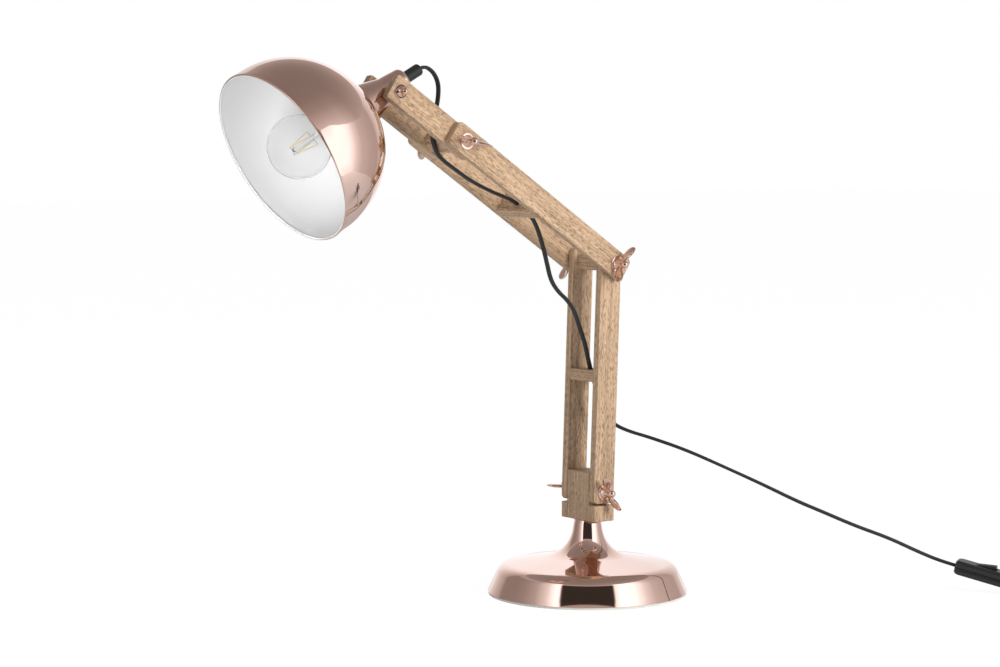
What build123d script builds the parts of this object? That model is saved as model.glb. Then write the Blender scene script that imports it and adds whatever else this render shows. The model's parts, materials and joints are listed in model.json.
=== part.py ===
from build123d import *
from math import cos, degrees, pi, radians, sin, sqrt
import os

# Table lamp with swing arms: weighted copper base, three pairs of wooden rails, bowl shade.
# Millimetres, +Z up. The origin is the middle of the base where it stands.
# The arms lean towards -X, and every pivot bolt lies along Y. -Y is the near side.

# Base
base_radius = 100.0
base_wall = 1.5
pad_height = 2.0
pad_inset = 0.5
shoulder_radius, shoulder_height, shoulder_round = 88.0, 29.2, 15.0
flare_radius, flare_height, flare_round = 18.6, 41.9, 32.0
neck_radius, neck_height = 13.2, 75.0
weight_height = 10.0
weight_gap = 1.5
stud_radius = 5.0
stud_clearance = 0.15
stud_in_block = 17.0
stud_nut_across, stud_nut_height = 16.0, 4.8
stud_washer_radius, stud_washer_thickness = 10.5, 1.5
counterbore_radius = 12.0
counterbore_web = 2.8

# Wooden rails, the same section in all three arms
rail_width = 25.0
rail_thickness = 8.5
rail_edge = 0.6
inner_half_gap = 18.0
slide_gap = 0.3
rail_round, head_end_round = 5.0, 2.0

# Base block with its tenon
block_height = 16.0
tenon_height = 33.0
pivot_above_shoulder = 13.2
rail_foot_gap = 2.0

# Arms: pivot to pivot, lean from upright towards +X at rest, and what runs past the pivots
lower_length, lower_lean, lower_past_elbow = 228.0, 2.1, 13.4
middle_length, middle_lean = 220.0, -56.4
middle_past_elbow, middle_past_mid = 14.0, 17.0
front_length, front_lean = 84.0, -56.4
front_past_mid, front_past_head = 17.0, 10.2
spacer_thickness = 11.5
lower_spacer_at = 115.5
middle_spacer_at = 108.5
cord_hole_radius = 6.5
dowel_radius = 11.0
bar_width, bar_round = 15.0, 2.5

# Pivot hardware
bolt_radius = 3.0
bolt_clearance = 0.1
washer_radius, washer_thickness = 8.0, 1.3
bolt_beyond_washer = 5.0
nut_base_radius, nut_flange, nut_waist_radius, nut_waist = 6.3, 0.8, 3.5, 7.2
nut_ball_radius, nut_ball_height = 4.0, 10.3
head_base_radius, head_waist_radius, head_waist = 5.4, 2.9, 3.4
head_ball_radius, head_ball_height = 3.3, 5.6
nut_seat_gap = 0.1
wing_reach, wing_rise, wing_thickness = 17.5, 17.0, 3.4

# Shade, neck and lampholder: sizes along the head's axis count from the head pivot
head_lean = -118.35
shade_radius, shade_wall = 86.5, 1.2
shade_apex, shade_cap_depth, shade_skirt = 31.0, 85.2, 13.4
shade_hole_radius = 16.0
neck_back, neck_back_radius, neck_back_round = -25.0, 11.6, 4.5
neck_mid_radius, neck_front_radius, neck_flare_round = 13.4, 22.5, 30.0
neck_wall = 1.2
neck_seat_gap = 0.3
boss_radius = 8.0
boss_gap = 0.15
boss_turn = 45.0
holder_back, holder_radius = 18.0, 15.6
holder_skirt_radius, holder_front = 19.0, 61.0
holder_bore = 14.0
ring_radius, ring_thickness = 24.0, 4.0
bulb_radius, bulb_length = 30.0, 105.0
bulb_tip = 137.5
bulb_wall = 0.8
cap_radius, cap_length = 13.2, 25.0
stem_radius = 2.0
filament_radius = 0.9
filament_count = 4
filament_back, filament_back_offset = 91.0, 8.0
filament_front, filament_front_offset = 121.0, 5.5
wire_radius = 0.45
grip_radius, grip_length, grip_round = 5.9, 20.5, 2.2
grip_thread_radius, grip_thread_length = 5.0, 5.0

# Cord, drawn as a tube of the flat cord's mean size
cord_radius = 2.3
front_cord_ahead = 18.0
middle_cord_offset = -3.8
lower_cord_offset = 1.05
coil_centre = (405.0, -305.0)
coil_outer_radius = 44.0
coil_pitch = 5.4
coil_layer_rise = 5.7
coil_start_angle = -120.0
coil_turns_in, coil_turns_out, coil_climb = 2.75, 2.25, 0.5

# Switch in the cord
switch_length, switch_width, switch_height = 62.0, 22.0, 14.5
switch_end = (303.0, -215.5, 26.0)
switch_heading, switch_dip = -56.0, 13.5
switch_round = 3.0
switch_split_gap = 0.2
rocker_length, rocker_width, rocker_height = 20.0, 9.0, 7.4
rocker_clearance = 0.5
rocker_throw = 20.0
rocker_proud, rocker_dish = 2.7, 2.0

# Plug
plug_width, plug_height, plug_length = 35.0, 2 * (cord_radius + coil_layer_rise), 46.0
plug_tail_width, plug_tail_height, plug_tail_length = 10.0, 8.0, 20.0
pin_radius, pin_length, pin_spacing = 2.0, 19.0, 18.6
plug_lead_length = 42.0

# What follows from the sizes
shoulder_z = neck_height + block_height
base_pivot = Vector(0, 0, shoulder_z + pivot_above_shoulder)
middle_half_gap = inner_half_gap + rail_thickness + slide_gap
lower_face = inner_half_gap + rail_thickness
middle_face = middle_half_gap + rail_thickness
tenon_half = inner_half_gap - slide_gap
nut_seat = washer_thickness + nut_seat_gap


def along(pivot, lean, distance, offset=0.0):
    """A point along a piece that leans from a pivot, offset across it towards +X."""
    a = radians(lean)
    return pivot + Vector(distance * sin(a) + offset * cos(a), 0, distance * cos(a) - offset * sin(a))


elbow_pivot = along(base_pivot, lower_lean, lower_length)
mid_pivot = along(elbow_pivot, middle_lean, middle_length)
head_pivot = along(mid_pivot, front_lean, front_length)


def placed(shape, pivot, lean):
    """Take a piece drawn upright about the origin to its pivot, leaning about Y."""
    return Pos(pivot.X, pivot.Y, pivot.Z) * Rot(0, lean, 0) * shape


def rod_y(radius, low, high, x=0.0, z=0.0):
    """A round bar along Y from low to high."""
    return Pos(x, (low + high) / 2, z) * Rot(90, 0, 0) * Cylinder(radius, high - low)


def bolt_hole(z=0.0):
    return rod_y(bolt_radius + bolt_clearance, -2 * middle_face, 2 * middle_face, z=z)


def revolved(profile):
    """Turn a closed outline of radius and height about the Z axis."""
    return revolve(Plane.XZ * make_face(profile), Axis.Z)


def closed(points):
    return Polyline(*points, close=True)


# Base

def offset_lines(points, distance):
    """Shift an open outline of straight runs sideways and meet its runs again."""
    runs = []
    for a, b in zip(points[:-1], points[1:]):
        run = sqrt((b[0] - a[0]) ** 2 + (b[1] - a[1]) ** 2)
        side = ((b[1] - a[1]) / run, -(b[0] - a[0]) / run)
        runs.append(((a[0] + distance * side[0], a[1] + distance * side[1]), (b[0] - a[0], b[1] - a[1])))
    first, last = points[0], points[-1]
    start = slide_to_height(runs[0], first[1])
    end = slide_to_height(runs[-1], last[1])
    corners = [crossing(one, two) for one, two in zip(runs[:-1], runs[1:])]
    return [start] + corners + [end]


def slide_to_height(run, height):
    (x, z), (dx, dz) = run
    return (x + dx * (height - z) / dz, height)


def crossing(one, two):
    (x1, z1), (a, b) = one
    (x2, z2), (c, d) = two
    t = ((x2 - x1) * d - (z2 - z1) * c) / (a * d - b * c)
    return (x1 + t * a, z1 + t * b)


base_outline = [(base_radius, pad_height), (shoulder_radius, shoulder_height),
                (flare_radius, flare_height), (neck_radius, neck_height)]


def base_solid(outline, shoulder, flare):
    """The base's outer form, or its hollow, from an outline of three runs with rounded corners."""
    side = FilletPolyline(*outline, radius=[shoulder, flare])
    foot, head = outline[0], outline[-1]
    rest = Polyline(head, (0, head[1]), (0, foot[1]), foot)
    return revolve(Plane.XZ * make_face(list(side.edges()) + list(rest.edges())), Axis.Z)


def base_shell():
    outer = base_solid(base_outline, shoulder_round, flare_round)
    hollow = offset_lines(base_outline, -base_wall)
    run = (hollow[-1][0] - hollow[-2][0], hollow[-1][1] - hollow[-2][1])
    hollow[-1] = slide_to_height((hollow[-2], run), neck_height - base_wall)
    inner = base_solid(hollow, shoulder_round - base_wall, flare_round + base_wall)
    hole = Pos(0, 0, neck_height) * Cylinder(stud_radius + stud_clearance, 4 * base_wall)
    return outer - inner - hole


def base_weight():
    skirt = offset_lines(base_outline[:2], -base_wall - weight_gap)
    foot = skirt[0]
    top_z = pad_height + weight_height
    rim = slide_to_height((foot, (skirt[1][0] - foot[0], skirt[1][1] - foot[1])), top_z)
    disc = revolved(closed([(0, pad_height), foot, rim, (0, top_z)]))
    hole = Pos(0, 0, top_z) * Cylinder(stud_radius + stud_clearance, 4 * weight_height)
    bore_top = top_z - counterbore_web
    counterbore = Pos(0, 0, (bore_top + pad_height) / 2) * Cylinder(counterbore_radius, bore_top - pad_height)
    return disc - hole - counterbore


def base_pad():
    return Pos(0, 0, pad_height / 2) * Cylinder(base_radius - pad_inset, pad_height)


washer_top = pad_height + weight_height - counterbore_web


def ring(outer, inner, low, high):
    return Pos(0, 0, (low + high) / 2) * (Cylinder(outer, high - low) - Cylinder(inner, 2 * (high - low)))


def base_washer():
    return ring(stud_washer_radius, stud_radius + stud_clearance, washer_top - stud_washer_thickness, washer_top)


def base_nut():
    top = washer_top - stud_washer_thickness
    body = extrude(RegularPolygon(stud_nut_across / 2, 6, major_radius=False), stud_nut_height)
    bore = Cylinder(stud_radius + stud_clearance, 4 * stud_nut_height)
    return Pos(0, 0, top - stud_nut_height) * (body - bore)


def base_stud():
    low = washer_top - stud_washer_thickness - stud_nut_height
    high = neck_height + stud_in_block
    return Pos(0, 0, (low + high) / 2) * Cylinder(stud_radius, high - low)


def base_block():
    body = Pos(0, 0, neck_height + block_height / 2) * Box(rail_width, 2 * lower_face, block_height)
    body = chamfer(body.edges(), rail_edge)
    tenon_z = shoulder_z + tenon_height / 2
    tenon = Pos(0, 0, tenon_z) * Box(rail_width, 2 * tenon_half, tenon_height)
    tenon = chamfer(tenon.faces().sort_by(Axis.Z)[-1].edges(), rail_edge)
    root = Pos(0, 0, shoulder_z - rail_edge / 2) * Box(rail_width, 2 * tenon_half, rail_edge)
    stud_hole = Pos(0, 0, neck_height) * Cylinder(stud_radius + stud_clearance, 2 * (stud_in_block + 1))
    return body + root + tenon - bolt_hole(base_pivot.Z) - stud_hole


# Arms

def rail(low, high, side, inner, holes, high_round):
    """One rail, upright: low and high are its ends, inner is its inner face's distance from the middle."""
    outline = Rectangle(rail_width, high - low)
    outline = fillet(outline.vertices().group_by(Axis.Y)[-1], high_round)
    outline = fillet(outline.vertices().group_by(Axis.Y)[0], rail_round)
    face = Plane.XZ * Pos(0, (low + high) / 2) * outline
    body = Pos(0, inner + rail_thickness, 0) * extrude(face, rail_thickness)
    rims = body.faces().filter_by(Axis.Y).edges()
    body = chamfer(rims, rail_edge)
    for z in holes:
        body = body - bolt_hole(z)
    return body if side > 0 else mirror(body, Plane.XZ)


def rail_pair(name, pivot, lean, low, high, inner, holes, high_round=rail_round):
    near = placed(rail(low, high, -1, inner, holes, high_round), pivot, lean)
    far = placed(rail(low, high, 1, inner, holes, high_round), pivot, lean)
    return {name + "_rail_near": near, name + "_rail_far": far}


def cross_spacer(half_gap, at):
    """A flat cross piece between two rails, with the hole that the cord runs through."""
    body = Box(rail_width, 2 * half_gap, spacer_thickness)
    body = chamfer(body.edges().filter_by(Axis.Y), rail_edge)
    hole = Cylinder(cord_hole_radius, 2 * spacer_thickness)
    return Pos(0, 0, at) * (body - hole)


def dowel_spacer():
    """A round cross piece about a pivot bolt."""
    return rod_y(dowel_radius, -inner_half_gap, inner_half_gap) - bolt_hole()


def bar_spacer():
    """A square cross piece with rounded edges about a pivot bolt."""
    body = Box(bar_width, 2 * inner_half_gap, bar_width)
    return fillet(body.edges().filter_by(Axis.Y), bar_round) - bolt_hole()


def lower_arm():
    low = rail_foot_gap - pivot_above_shoulder
    nodes = rail_pair("lower", base_pivot, lower_lean, low, lower_length + lower_past_elbow,
                      inner_half_gap, [0, lower_length])
    nodes["lower_spacer"] = placed(cross_spacer(inner_half_gap, lower_spacer_at), base_pivot, lower_lean)
    nodes["elbow_spacer"] = placed(bar_spacer(), elbow_pivot, lower_lean)
    return nodes


def middle_arm():
    nodes = rail_pair("middle", elbow_pivot, middle_lean, -middle_past_elbow,
                      middle_length + middle_past_mid, middle_half_gap, [0, middle_length])
    nodes["middle_spacer"] = placed(cross_spacer(middle_half_gap, middle_spacer_at), elbow_pivot, middle_lean)
    return nodes


def front_arm():
    nodes = rail_pair("front", mid_pivot, front_lean, -front_past_mid,
                      front_length + front_past_head, inner_half_gap, [0, front_length], head_end_round)
    nodes["front_spacer"] = placed(dowel_spacer(), mid_pivot, front_lean)
    return nodes


# Pivot hardware

def pivot_washers(pivot, face):
    """The two washers of a pivot, as one group."""
    one = rod_y(washer_radius, face, face + washer_thickness) - bolt_hole()
    two = rod_y(washer_radius, -face - washer_thickness, -face) - bolt_hole()
    return placed(Compound(children=[one, two]), pivot, 0)


def pivot_bolt(pivot, face):
    reach = face + washer_thickness + bolt_beyond_washer
    return placed(rod_y(bolt_radius, -reach, reach), pivot, 0)


def head_bolt():
    """Bolt for the head pivot. Its near head is a washer-shaped flange, a hollow cone and a ball."""
    flange = lower_face + washer_thickness
    shaft = rod_y(bolt_radius, -flange, flange + bolt_beyond_washer)
    disc = rod_y(washer_radius - 1.2, -flange, -lower_face)
    disc = fillet(disc.faces().sort_by(Axis.Y)[0].edges(), washer_thickness * 0.4)
    cone = revolved(closed([(0, 0), (head_base_radius, 0), (head_waist_radius, head_waist), (0, head_waist)]))
    ball = Pos(0, 0, head_ball_height) * Sphere(head_ball_radius)
    knob = Pos(0, -flange, 0) * Rot(90, 0, 0) * (cone + ball)
    return placed(shaft + disc + knob, head_pivot, 0)


def head_washer():
    return placed(rod_y(washer_radius, lower_face, lower_face + washer_thickness) - bolt_hole(), head_pivot, 0)


def wing_nut():
    """A wing nut on the XY plane: hub drawn in to a waist, ball on top and two curved ears."""
    root = nut_waist_radius * 0.5
    hub = revolved(closed([(0, 0), (nut_base_radius, 0), (nut_base_radius, nut_flange),
                           (nut_waist_radius, nut_waist), (0, nut_waist)]))
    ball = Pos(0, 0, nut_ball_height) * Sphere(nut_ball_radius)
    under = ThreePointArc((root, nut_flange), (wing_reach * 0.68, wing_rise * 0.17), (wing_reach, wing_rise * 0.64))
    tip = ThreePointArc((wing_reach, wing_rise * 0.64), (wing_reach * 1.03, wing_rise * 0.9),
                        (wing_reach * 0.86, wing_rise))
    upper = ThreePointArc((wing_reach * 0.86, wing_rise), (wing_reach * 0.58, wing_rise * 0.62),
                          (root, nut_waist + 1.2))
    inner = Line((root, nut_waist + 1.2), (root, nut_flange))
    face = Plane.XZ * make_face([under, tip, upper, inner])
    ear = extrude(face, wing_thickness / 2, both=True)
    ear = fillet(ear.edges().filter_by(lambda e: e.center().X > root + 1), wing_thickness * 0.3)
    nut = hub + ball + ear + Rot(0, 0, 180) * ear
    bore = Pos(0, 0, bolt_beyond_washer / 2) * Cylinder(bolt_radius + bolt_clearance, bolt_beyond_washer + 0.4)
    return nut - bore


def pivot_nut(pivot, face, side, lean):
    """A wing nut on a washer, its upper ear leaning from upright towards +X."""
    upright = Rot(0, lean, 0) * Rot(90 * -side, 0, 0) * Rot(0, 0, 90) * wing_nut()
    return Pos(pivot.X, side * (face + nut_seat), pivot.Z) * upright


# Shade, neck and lampholder, drawn along +Z from the head pivot

cap_centre = shade_apex + shade_cap_depth
shade_mouth = cap_centre + shade_skirt


def bowl(radius, depth, mouth):
    """A closed bowl: an elliptical cap and a straight skirt down to the mouth."""
    cap = EllipticalCenterArc((0, cap_centre), radius, depth, start_angle=270, arc_size=90)
    rest = Polyline((radius, cap_centre), (radius, mouth), (0, mouth), (0, cap_centre - depth))
    return revolve(Plane.XZ * make_face([cap] + list(rest.edges())), Axis.Z)


def shade():
    outer = bowl(shade_radius, shade_cap_depth, shade_mouth)
    inner = bowl(shade_radius - shade_wall, shade_cap_depth - shade_wall, shade_mouth + 1)
    hole = Pos(0, 0, shade_apex) * Cylinder(shade_hole_radius, 20 * shade_wall)
    shell = outer - inner - hole
    rim = shell.faces().sort_by(Axis.Z)[-1].edges()
    return fillet(rim, shade_wall * 0.4)


def cap_rise(radius):
    """How far the shade's outer cap lies beyond its apex at a radius."""
    return shade_cap_depth * (1 - sqrt(1 - (radius / shade_radius) ** 2))


neck_front = shade_apex + cap_rise(neck_front_radius - neck_wall) - neck_seat_gap


def neck_outline(shrink, back, front):
    return [(neck_back_radius - shrink, back), (neck_mid_radius - shrink, 0),
            (neck_front_radius - shrink, front)]


def neck_form(shrink, back_end, back_round):
    """The neck's round form: a cup's closed end, a waist at the pivot and a flare to the shade."""
    back, mid, front = neck_outline(shrink, back_end, neck_front)
    form = revolved(closed([(0, back_end), back, mid, front, (0, neck_front)]))
    form = fillet(form.faces().sort_by(Axis.Z)[0].edges(), back_round)
    waist = [e for e in form.edges().filter_by(GeomType.CIRCLE) if abs(e.center().Z) < 0.01]
    return fillet(waist, neck_flare_round)


def neck():
    """The neck's shell with a boss across it, turned so that its seam misses the neck's own edges."""
    outer = neck_form(0, neck_back, neck_back_round)
    boss_reach = inner_half_gap - boss_gap
    boss = Rot(0, boss_turn, 0) * rod_y(boss_radius, -boss_reach, boss_reach)
    outer = outer + boss
    inner = neck_form(neck_wall, neck_back + neck_wall, neck_back_round - neck_wall)
    entry = Pos(0, 0, neck_back) * Cylinder(grip_thread_radius + stud_clearance, 6 * neck_wall)
    return outer - inner - entry - bolt_hole()


skirt_back = shade_apex + shade_wall + cap_rise(holder_skirt_radius) + neck_seat_gap
cap_back = bulb_tip - bulb_length


def lampholder():
    body = Pos(0, 0, (holder_back + skirt_back) / 2) * Cylinder(holder_radius, skirt_back - holder_back)
    skirt = Pos(0, 0, (skirt_back + holder_front) / 2) * Cylinder(holder_skirt_radius, holder_front - skirt_back)
    bore = Pos(0, 0, (cap_back + holder_front) / 2) * Cylinder(holder_bore, holder_front - cap_back)
    return body + skirt - bore


def shade_ring():
    low = shade_apex + shade_wall + cap_rise(ring_radius) + neck_seat_gap
    return ring(ring_radius, holder_skirt_radius + 0.2, low, low + ring_thickness)


def bulb_cap():
    contact_height = 1.0
    contact = Pos(0, 0, cap_back + contact_height / 2) * Cylinder(cap_radius * 0.35, contact_height)
    length = cap_length - contact_height
    return contact + Pos(0, 0, cap_back + contact_height + length / 2) * Cylinder(cap_radius, length)


cap_front = cap_back + cap_length
bulb_centre = bulb_tip - bulb_radius


def bulb_outline(shrink):
    """The bulb's outline: a sphere drawn in to its throat. Shrink gives the inner wall."""
    radius = bulb_radius - shrink
    turn = radians(125)
    join = (radius * sin(turn), bulb_centre + radius * cos(turn))
    throat = (cap_radius - shrink, cap_front)
    ball = CenterArc((0, bulb_centre), radius, 90, -125)
    neck_line = Spline(join, throat, tangents=[(cos(turn), -sin(turn)), (0, -1)])
    axis = Polyline(throat, (0, cap_front), (0, bulb_centre + radius))
    return [ball, neck_line] + list(axis.edges())


def bulb_glass():
    outer = revolve(Plane.XZ * make_face(bulb_outline(0)), Axis.Z)
    inner = revolve(Plane.XZ * make_face(bulb_outline(bulb_wall)), Axis.Z)
    return outer - inner


def bulb_stem():
    flare = filament_back - cap_front - 6
    foot = revolved(closed([(0, 0), (cap_radius * 0.6, 0), (stem_radius, flare), (0, flare)]))
    post_length = filament_front - cap_front + 1
    return Pos(0, 0, cap_front) * (foot + Pos(0, 0, post_length / 2) * Cylinder(stem_radius, post_length))


def bar(start, end, radius):
    """A straight round bar between two points."""
    start, end = Vector(start), Vector(end)
    run = end - start
    return Plane(origin=start + run / 2, z_dir=run) * Cylinder(radius, run.length)


def bulb_filaments():
    """Lit strips about the stem, each on a wire at both ends."""
    pieces = []
    for i in range(filament_count):
        a = 2 * pi * i / filament_count + pi / 5
        b = a + pi / 7
        back = (filament_back_offset * cos(a), filament_back_offset * sin(a), filament_back)
        front = (filament_front_offset * cos(b), filament_front_offset * sin(b), filament_front)
        back_foot = (stem_radius * cos(a), stem_radius * sin(a), filament_back)
        front_foot = (stem_radius * cos(b), stem_radius * sin(b), filament_front)
        pieces.append(bar(back, front, filament_radius) + bar(back_foot, back, wire_radius)
                      + bar(front_foot, front, wire_radius))
    return Compound(children=pieces)


def cord_grip():
    body = Pos(0, 0, neck_back - grip_length / 2) * Cylinder(grip_radius, grip_length)
    body = fillet(body.faces().sort_by(Axis.Z)[0].edges(), grip_round)
    thread = Pos(0, 0, neck_back + grip_thread_length / 2) * Cylinder(grip_thread_radius, grip_thread_length)
    return body + thread


def head():
    drawn = {"neck": neck(), "shade": shade(), "shade_ring": shade_ring(), "lampholder": lampholder(),
             "bulb_cap": bulb_cap(), "bulb_glass": bulb_glass(), "bulb_stem": bulb_stem(),
             "bulb_filaments": bulb_filaments(), "cord_grip": cord_grip()}
    return {name: placed(shape, head_pivot, head_lean) for name, shape in drawn.items()}


# Cord

def corner_radii(points):
    """The largest arc that each corner's two runs allow."""
    radii = []
    for a, b, c in zip(points[:-2], points[1:-1], points[2:]):
        turn = radians((b - a).get_angle(c - b))
        radii.append(0.45 * min((b - a).length, (c - b).length) / (sin(turn / 2) / cos(turn / 2)))
    return radii


def tube(name, points):
    """A cord tube through chosen points: straight runs joined by arcs."""
    points = [Vector(p) for p in points]
    radii = corner_radii(points)
    path = FilletPolyline(*points, radius=radii)
    section = Plane(origin=path @ 0, z_dir=path % 0) * Circle(cord_radius)
    solid = sweep(section, path=path)
    expected = pi * cord_radius ** 2 * path.length
    print(f"{name}: {path.length:.0f} mm, least radius {min(radii):.1f}, volume / expected "
          f"{solid.volume / expected:.4f}")
    return solid


def grip_point(distance):
    """A point on the cord's way out of its grip."""
    return along(head_pivot, head_lean, neck_back - grip_length - distance)


def front_cord_point(onward):
    """A point on the straight run between the front rails, where two stretches meet."""
    return along(mid_pivot, front_lean, front_cord_ahead - 0.56 * onward, -0.83 * onward)


def middle_cord_point(onward):
    """A point on the straight run through the middle spacer's hole."""
    return along(elbow_pivot, middle_lean, middle_spacer_at - onward, middle_cord_offset)


def lower_cord_point(onward):
    """A point on the slanting run through the lower spacer's hole."""
    return along(base_pivot, lower_lean, lower_spacer_at - 0.94 * onward, lower_cord_offset + 0.34 * onward)


head_cord = [grip_point(0), grip_point(5.5), (-191.8, 0, 522.4), (-186.0, 0, 516.4), (-182.9, 0, 507.8),
             (-182.8, 0, 497.6), (-184.8, 0, 487.0), (-187.5, 0, 476.5), front_cord_point(-5),
             front_cord_point(0)]
front_cord = [front_cord_point(0), front_cord_point(6), (-188.4, 0, 450.6), (-184.5, 0, 441.8),
              (-177.3, 0, 435.0), (-165.9, 0, 428.0), (-152.2, 0, 419.5), (-137.2, 0, 411.8),
              (-121.9, 0, 405.4), (-109.7, 0, 401.0), middle_cord_point(-14), middle_cord_point(0)]
middle_cord = [middle_cord_point(0), middle_cord_point(14), (-64.5, 0, 369.4), (-57.6, 0, 352.1),
               (-52.2, 0, 334.0), (-47.4, 0, 316.5), (-38.1, 0, 304.6), (-26.5, 0, 295.9),
               (-17.4, 0, 284.6), (-10.7, 0, 268.2), (-3.4, 0, 250.5), lower_cord_point(-16),
               lower_cord_point(0)]
switch_lead_in = 16.0
lower_cord = [lower_cord_point(0), lower_cord_point(13), (11.9, -1.4, 190.0), (17.6, -5.6, 177.6),
              (27.0, -12.0, 167.8), (39.6, -21.0, 161.4), (53.4, -30.5, 156.6), (83.5, -52.0, 143.7),
              (114.2, -74.2, 126.8), (147.7, -98.2, 107.9), (174.8, -117.9, 91.4), (198.1, -134.8, 79.3),
              (222.9, -152.8, 66.0), (251.3, -172.4, 53.4), (276.6, -189.0, 39.0)]


def switch_point(distance, up=0.0):
    """A point on the switch's long axis, from its lamp end."""
    a, dip = radians(switch_heading), radians(switch_dip)
    ahead = Vector(cos(a) * cos(dip), sin(a) * cos(dip), -sin(dip))
    above = Vector(cos(a) * sin(dip), sin(a) * sin(dip), cos(dip))
    return Vector(*switch_end) + ahead * distance + above * up


def coil_point(turns):
    """Place on the coil: in on the lower layer, up while the spiral turns back, out on the upper one."""
    inward = min(turns, coil_turns_in)
    outward = max(turns - coil_turns_in, 0)
    climb = min(max(outward + coil_climb / 2 - (coil_turns_in - inward), 0) / coil_climb, 1)
    radius = coil_outer_radius - coil_pitch * inward + coil_pitch * outward
    rise = coil_layer_rise * (3 * climb ** 2 - 2 * climb ** 3)
    angle = radians(coil_start_angle) + 2 * pi * turns
    x, y = coil_centre
    return Vector(x + radius * cos(angle), y + radius * sin(angle), cord_radius + rise)


def coil_heading(turns, total):
    """Heading on the coil, level at both ends."""
    step = 0.002
    run = coil_point(min(turns + step, total)) - coil_point(max(turns - step, 0))
    return run.normalized()


def biarc(start, end, start_heading, end_heading):
    """Two arcs that leave and arrive along given headings."""
    run = end - start
    both = start_heading + end_heading
    spread = 2 * (1 - start_heading.dot(end_heading))
    reach = (-run.dot(both) + sqrt(run.dot(both) ** 2 + spread * run.dot(run))) / spread
    one, two = start + start_heading * reach, end - end_heading * reach
    middle = (one + two) / 2
    return [TangentArc(start, middle, tangent=start_heading),
            TangentArc(middle, end, tangent=(two - one).normalized())]


coil_turns = coil_turns_in + coil_turns_out


def coil_gap():
    """The least gap between the coil's turns, measured on points more than a quarter turn apart."""
    steps = 48
    places = [coil_point(i / steps) for i in range(int(coil_turns * steps) + 1)]
    least = min((a - b).length for i, a in enumerate(places) for b in places[i + steps // 4:])
    return least - 2 * cord_radius


def cord_coil():
    stops = [i / 4 for i in range(int(coil_turns * 4) + 1)]
    edges = []
    for a, b in zip(stops[:-1], stops[1:]):
        edges += biarc(coil_point(a), coil_point(b), coil_heading(a, coil_turns), coil_heading(b, coil_turns))
    path = Wire([e.edge() for e in edges])
    section = Plane(origin=coil_point(0), z_dir=coil_heading(0, coil_turns)) * Circle(cord_radius)
    solid = sweep(section, path=path)
    expected = pi * cord_radius ** 2 * path.length
    print(f"coil: {path.length:.0f} mm, least gap between turns {coil_gap():.2f}, volume / expected "
          f"{solid.volume / expected:.4f}")
    return solid


def supply_cord():
    tail_start = switch_point(switch_length)
    coil_in, heading_in = coil_point(0), coil_heading(0, coil_turns)
    coil_out, heading_out = coil_point(coil_turns), coil_heading(coil_turns, coil_turns)
    tail = [tail_start, switch_point(switch_length + 9), (349.0, -300.0, 5.2), (356.0, -321.0, 2.6),
            coil_in - heading_in * 15, coil_in]
    lead = [coil_out, coil_out + heading_out * plug_lead_length]
    return {"cord_head": tube("cord_head", head_cord), "cord_front": tube("cord_front", front_cord),
            "cord_middle": tube("cord_middle", middle_cord),
            "cord_lower": tube("cord_lower", lower_cord + [switch_point(-switch_lead_in), switch_point(0)]),
            "cord_tail": tube("cord_tail", tail), "cord_coil": cord_coil(),
            "cord_plug_lead": bar(lead[0], lead[1], cord_radius)}


# Switch, drawn along +X with its middle at the origin

def switch_placed(shape):
    centre = switch_point(switch_length / 2)
    return Pos(centre.X, centre.Y, centre.Z) * Rot(0, 0, switch_heading) * Rot(0, switch_dip, 0) * shape


def switch_body():
    body = Box(switch_length, switch_width, switch_height)
    body = fillet(body.edges().filter_by(Axis.Z), switch_width * 0.3)
    return fillet(body.edges().filter_by(lambda e: abs(e.center().Z) > switch_height * 0.4), switch_round)


def switch_shells():
    body = switch_body()
    lower = split(body, bisect_by=Plane.XY.offset(-switch_split_gap / 2), keep=Keep.BOTTOM)
    upper = split(body, bisect_by=Plane.XY.offset(switch_split_gap / 2), keep=Keep.TOP)
    window = Box(rocker_length + 2 * rocker_clearance, rocker_width + 2 * rocker_clearance, 2 * switch_height)
    upper = upper - window
    return {"switch_lower": switch_placed(lower), "switch_upper": switch_placed(upper)}


def rocker():
    """A rocker with a dished top and raised ends, shown pressed at the lamp's end."""
    half, top = rocker_length / 2, switch_height / 2 + rocker_proud
    low = top - rocker_height
    dish = ThreePointArc((-half, top), (0, top - rocker_dish), (half, top))
    rest = Polyline((half, top), (half * 0.92, low + 2.2), (0, low), (-half * 0.92, low + 2.2), (-half, top))
    face = Plane.XZ * make_face([dish] + list(rest.edges()))
    body = extrude(face, rocker_width / 2, both=True)
    axis_height = switch_height / 2 - 2
    return switch_placed(Pos(0, 0, axis_height) * Rot(0, -rocker_throw / 2, 0) * Pos(0, 0, -axis_height) * body)


# Plug, lying flat

def plug_section(at, width, height):
    """An ellipse-like section of the plug's sleeve, square to its length."""
    return Plane(origin=(at, 0, 0), z_dir=(1, 0, 0)) * Ellipse(width / 2, height / 2)


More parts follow.
